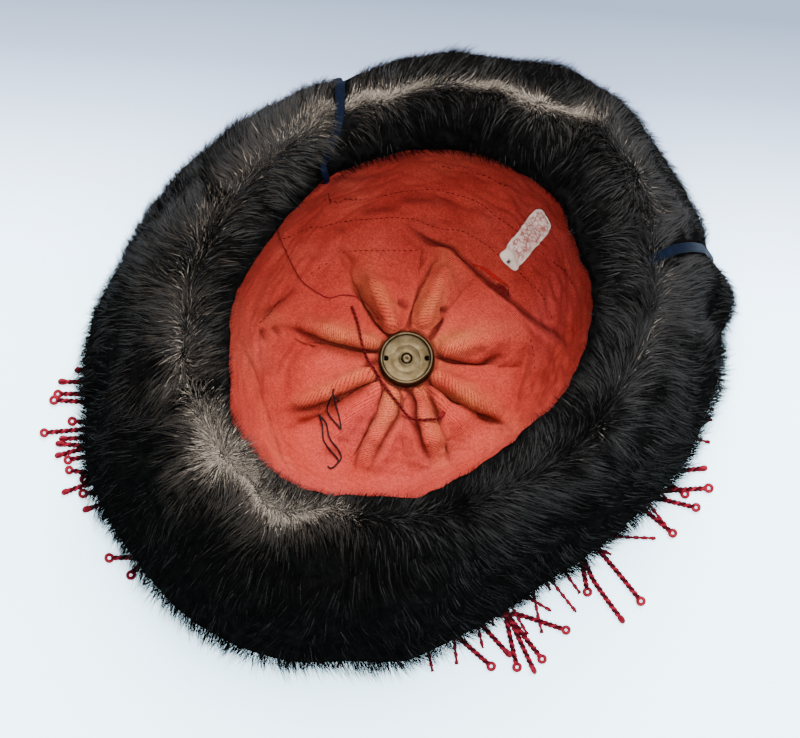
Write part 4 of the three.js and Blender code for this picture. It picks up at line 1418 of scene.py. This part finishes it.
def make_whorl_stitches():
    """Short dark stitches with pale knots that close the hide at the whorl."""
    draw = np.random.default_rng(9)
    dark, pale = [], []
    for index in range(7):
        degrees = WHORL["degrees"] + 0.9 * (index - 3) + draw.normal(0, 0.2)
        row = WHORL["row"] + draw.normal(0, 0.6)
        normal = hide_spot(np.array(degrees), np.array(row))[1]
        spots = [
            read_hide(HIDE_POINTS, np.array(degrees + turn), np.array(row + step)) + normal * lift
            for turn, step, lift in ((-0.5, -1.1, 3.4), (0.1, 0.1, 4.6), (0.6, 1.2, 3.4))
        ]
        dark.append(tube(spots, 0.26, 5))
        if index % 2:
            knot = [spots[1] + shift for shift in ((-0.4, 0, 0), (0, 0, 0.3), (0.4, 0.2, 0))]
            pale.append(tube(knot, 0.22, 5))
    tube_piece("whorl_stitches", dark, [BLACK_THREAD], slot="fur")
    tube_piece("whorl_knots", pale, [HAIRS[-1]], slot="fur")


# Ribbons over the fur

RIBBON = {"width": 5, "thickness": 0.6}


def make_ribbon(name):
    rows = np.linspace(2, HIDE_ROWS - 1, 60)
    middle, normal = hide_spot(ribbon_degrees(name, rows), rows)
    side = unit(np.cross(unit(np.gradient(middle, axis=0)), normal))
    inside = 1 - smoothstep(12, 40, rows)
    half = (0.5 * RIBBON["width"] * (1 - 0.3 * inside))[:, None]
    lift = RIBBON_BED - 0.6 * smoothstep(70, 90, rows) - 1.2 * smoothstep(90, 107, rows)
    lift = lift + 2.6 * inside - 5 * (1 - smoothstep(2, 10, rows)) + 0.25 * np.sin(rows * 0.5)
    if RIBBON_SINKS[name]:
        lift = lift - 5.5 * (1 - smoothstep(CREST_ROW - 6, CREST_ROW + 10, rows))
    loops = []
    for angle in ring(12):
        flat = np.sign(math.cos(angle)) * abs(math.cos(angle)) ** 0.5
        height = lift + RIBBON["thickness"] * (0.5 + 0.5 * math.sin(angle)) + 0.5 * (1 - flat ** 2)
        loops.append(middle + side * half * flat + normal * height[:, None])
    loops = np.array(loops).transpose(1, 0, 2)
    sweep_piece(name + "_silk", loops, NAVY, False, node=name, slot="silk")


# The nut and the post's tip

def lathe_loops(profile, sides, teeth=0.0, teeth_rows=()):
    """Loops round the post's axis through a profile of (radius, height), with a knurled stretch."""
    angles = ring(sides)
    profile = np.array(profile, float)
    radius = np.repeat(profile[None, :, 0], sides, 0)
    for row in teeth_rows:
        radius[:, row] -= teeth * (0.5 + 0.5 * np.cos(angles * sides / 4))
    return polar(radius, angles[:, None], profile[None, :, 1])


def make_nut():
    base, top = NUT_BASE, NUT_TOP
    rim = NUT_RADIUS - 1.4
    dish = top - 1.1
    profile = [
        (BORE, base), (NUT_RADIUS - 0.8, base), (NUT_RADIUS - 0.15, base + 0.4),
        (NUT_RADIUS, base + 0.8), (NUT_RADIUS, base + 2.4), (NUT_RADIUS, top - 1.9),
        (NUT_RADIUS - 0.2, top - 1.4), (rim + 0.75, top - 0.95), (rim + 0.5, top - 0.5),
        (rim + 0.3, top - 0.12), (rim, top), (rim - 0.5, top), (rim - 0.75, top - 0.15),
        (rim - 1.0, dish + 0.25), (rim - 1.3, dish + 0.1), (rim - 2.2, dish), (9.2, dish - 0.15),
        (7.3, dish - 0.3), (7.15, dish - 0.26), (7.0, dish - 0.32), (5, dish - 0.44),
        (3.5, dish - 0.5), (3.35, dish - 0.4), (3.15, dish - 0.4), (BORE + 0.05, dish - 0.55),
    ]
    loops = lathe_loops(profile, 240, 0.5, (3, 4, 5))
    radial = np.hypot(loops[..., 0], loops[..., 1])
    seams = bell(radial - (rim - 1.1), 0.25) + bell(radial - 2.8, 0.25)
    grime = 0.6 * seams * (loops[..., 2] > dish - 0.7)
    grime += 0.7 * np.clip((NUT_RADIUS - radial) / 0.5, 0, 1) * (radial > NUT_RADIUS - 0.6)
    piece = sweep_piece("nut_brass", loops, BRASS, node="finial_nut", slot="brass")
    add_numbers(piece, "grime", np.clip(grime, 0, 1))
    # The two holes in the dish are dark caps: painted shade in place of the hollows.
    hole_profile = [(1.4, dish - 0.5), (1.4, dish + 0.07), (0.05, dish + 0.07)]
    reach = HOLE_SPACING / 2 * np.array([math.cos(CAMERA_TURN), math.sin(CAMERA_TURN), 0])
    hole_loops = lathe_loops(hole_profile, 24).transpose(1, 0, 2)
    holes = [hole_loops + side * reach for side in (-1, 1)]
    hole_shade = new_material("hole_shadow", Base_Color=(0.0015, 0.001, 0.0008, 1), Roughness=1.0,
                        Specular_IOR_Level=0.0)
    tube_piece("nut_holes", holes, [hole_shade], slot="brass")


def make_post():
    tip = NUT_TOP - 1.45
    profile = [
        (0.01, tip - 0.25), (0.6, tip - 0.2), (0.9, tip), (POST_RADIUS - 0.4, tip),
        (POST_RADIUS, tip - 0.35), (POST_RADIUS, POST_HEAD_THICKNESS), (8.6, POST_HEAD_THICKNESS),
        (9, POST_HEAD_THICKNESS - 0.4), (9, 0.6), (8.4, 0), (0.01, 0),
    ]
    loops = lathe_loops(profile, 48)
    piece = sweep_piece("post_brass", loops, BRASS, node="finial_post", slot="brass")
    add_numbers(piece, "grime", 0 * loops[..., 0])


# The fringe under the hat

# Cord ends that show past the brim: degrees, reach, and how far the end leans off its own ray.
FRINGE_ENDS = [
    (231, 171, 0), (233, 179, -4), (235, 182, -7), (236, 184, -10), (240, 176, -15),
    (241, 191, -5), (242.6, 182, -7), (243.4, 184, -11), (245, 186, 1), (246.2, 182, -3),
    (248, 183, -29), (250, 177, 5), (251, 188, -4), (252.4, 180, -16), (255, 181, -2),
    (264, 183, -34), (268, 179, 12), (335, 163, 34), (338.6, 159, 27), (339.6, 167, -9),
    (342, 171, 2), (344, 168, 12), (350, 161, 42), (358, 151, -28), (359.4, 172, -7),
    (4, 172, -4), (17, 163, -3), (23, 167, 13), (24.5, 159, -4), (27, 169, 27), (30, 163, 22),
]
FRINGE_CORD = 1.55
HIDDEN_CORD = 1.2
CORD_REST = FRINGE_CORD + 0.05
HIDDEN_CORDS = 130


def cord_path(degrees, reach, lean, height, draw):
    """A cord's line on the table, from the fringe's head out to its end."""
    end = np.array([math.cos(degrees * DEG), math.sin(degrees * DEG)]) * reach
    heading = (degrees + lean) * DEG
    back = end - 42 * np.array([math.cos(heading), math.sin(heading)])
    start_way = math.atan2(back[1], back[0]) + draw.normal(0, 0.05)
    start = 13.5 * np.array([math.cos(start_way), math.sin(start_way)])
    half = 0.55 * back + 3 * draw.normal(0, 1, 2)
    line = [start, half * 0.55, half, back, (back + end) / 2 + draw.normal(0, 0.7, 2), end]
    z = [3.0, 1.9, height, height, height, CORD_REST]
    return np.array([(x, y, max(h, CORD_REST)) for (x, y), h in zip(line, z)])


def end_loop(path, draw):
    """The small loop of one strand in which a cord ends, lying flat or standing on edge."""
    way = unit(path[-1] - path[-4])
    flat_side = np.array([-way[1], way[0], 0]) * draw.choice([-1, 1])
    side = flat_side if draw.uniform() < 0.72 else 0.35 * flat_side + np.array([0, 0, 0.9])
    radius = draw.uniform(1.5, 1.8)
    turn = np.linspace(-0.5 * math.pi, 1.5 * math.pi, 15)[:, None]
    centre = path[-1] + way * radius * 0.8
    loop = centre + radius * (side * np.cos(turn) + way * np.sin(turn))
    loop[:, 2] = np.maximum(loop[:, 2], 1.1)
    return tube(loop, 0.95, 7)


def make_fringe():
    draw = np.random.default_rng(77)
    shown, shades = [], []
    for degrees, reach, lean in FRINGE_ENDS:
        path = resample(cord_path(degrees, reach - 3, lean, 1.4, draw), 0.75)
        shown.append(end_loop(path, draw))
        away = np.hypot(path[:, 0], path[:, 1])
        outer = max(int(np.argmax(away > 118)), 2)
        shown += plies(path[outer - 1:], FRINGE_CORD, 5.0, draw.uniform(0, TURN))
        inner = path[:outer + 1:8]
        # The second ply takes the darker copy of crimson, as painted shade between the plies.
        shades += [0, 0, 1]
        if len(inner) > 3:
            shown.append(tube(inner, FRINGE_CORD * 0.9, 5))
            shades.append(0)
    tube_piece("fringe_ends", shown, [CRIMSON, CRIMSON_SHADED], shades, slot="fringe_silk")
    hidden = []
    for index in range(HIDDEN_CORDS):
        degrees = 360 * (index + draw.uniform(-0.35, 0.35)) / HIDDEN_CORDS
        reach = 133 + 20 * draw.uniform() + 14 * abs(math.sin(degrees * DEG))
        path = resample(cord_path(degrees, reach, draw.normal(0, 14), 1.5, draw), 1.5)
        away = np.hypot(path[:, 0], path[:, 1])
        outer = int(np.argmax(away > 100))
        coarse = path[:outer:5]
        hidden.append(tube(coarse if len(coarse) > 2 else path[:3], HIDDEN_CORD, 4))
        hidden.append(tube(path[max(outer - 2, 0):], HIDDEN_CORD, 5, 0.6, TURN / 8.4))
    tube_piece("fringe_cords", hidden, [CRIMSON], node="fringe", slot="fringe_silk")


def make_fringe_head():
    """The round head that holds the cords, wrapped in cord."""
    base, top = POST_HEAD_THICKNESS + PIECE_GAP, HEAD_TOP
    edge = FRINGE_HEAD["radius"]
    turns = [
        (edge - 0.3 + 0.3 * math.cos(t), base + 0.8 + (top - base - 1.6) * k / 3 + 0.5 * math.sin(t))
        for k in range(4) for t in (-1.2, 0, 1.2)
    ]
    profile = [(BORE, base), (edge - 0.8, base + 0.05)] + turns + [(edge - 1, top), (BORE, top)]
    sweep_piece("fringe_head", lathe_loops(profile, 96), CRIMSON, slot="fringe_silk")


make_camera()
make_loose_cord()
make_studio()
make_lining()
make_stitches()
make_threads()
make_torn_strip()
make_label()
make_crown()
make_band()
make_hide()
make_fur()
make_whorl_stitches()
for ribbon_name in RIBBON_LINES:
    make_ribbon(ribbon_name)
make_nut()
make_post()
make_fringe()
make_fringe_head()
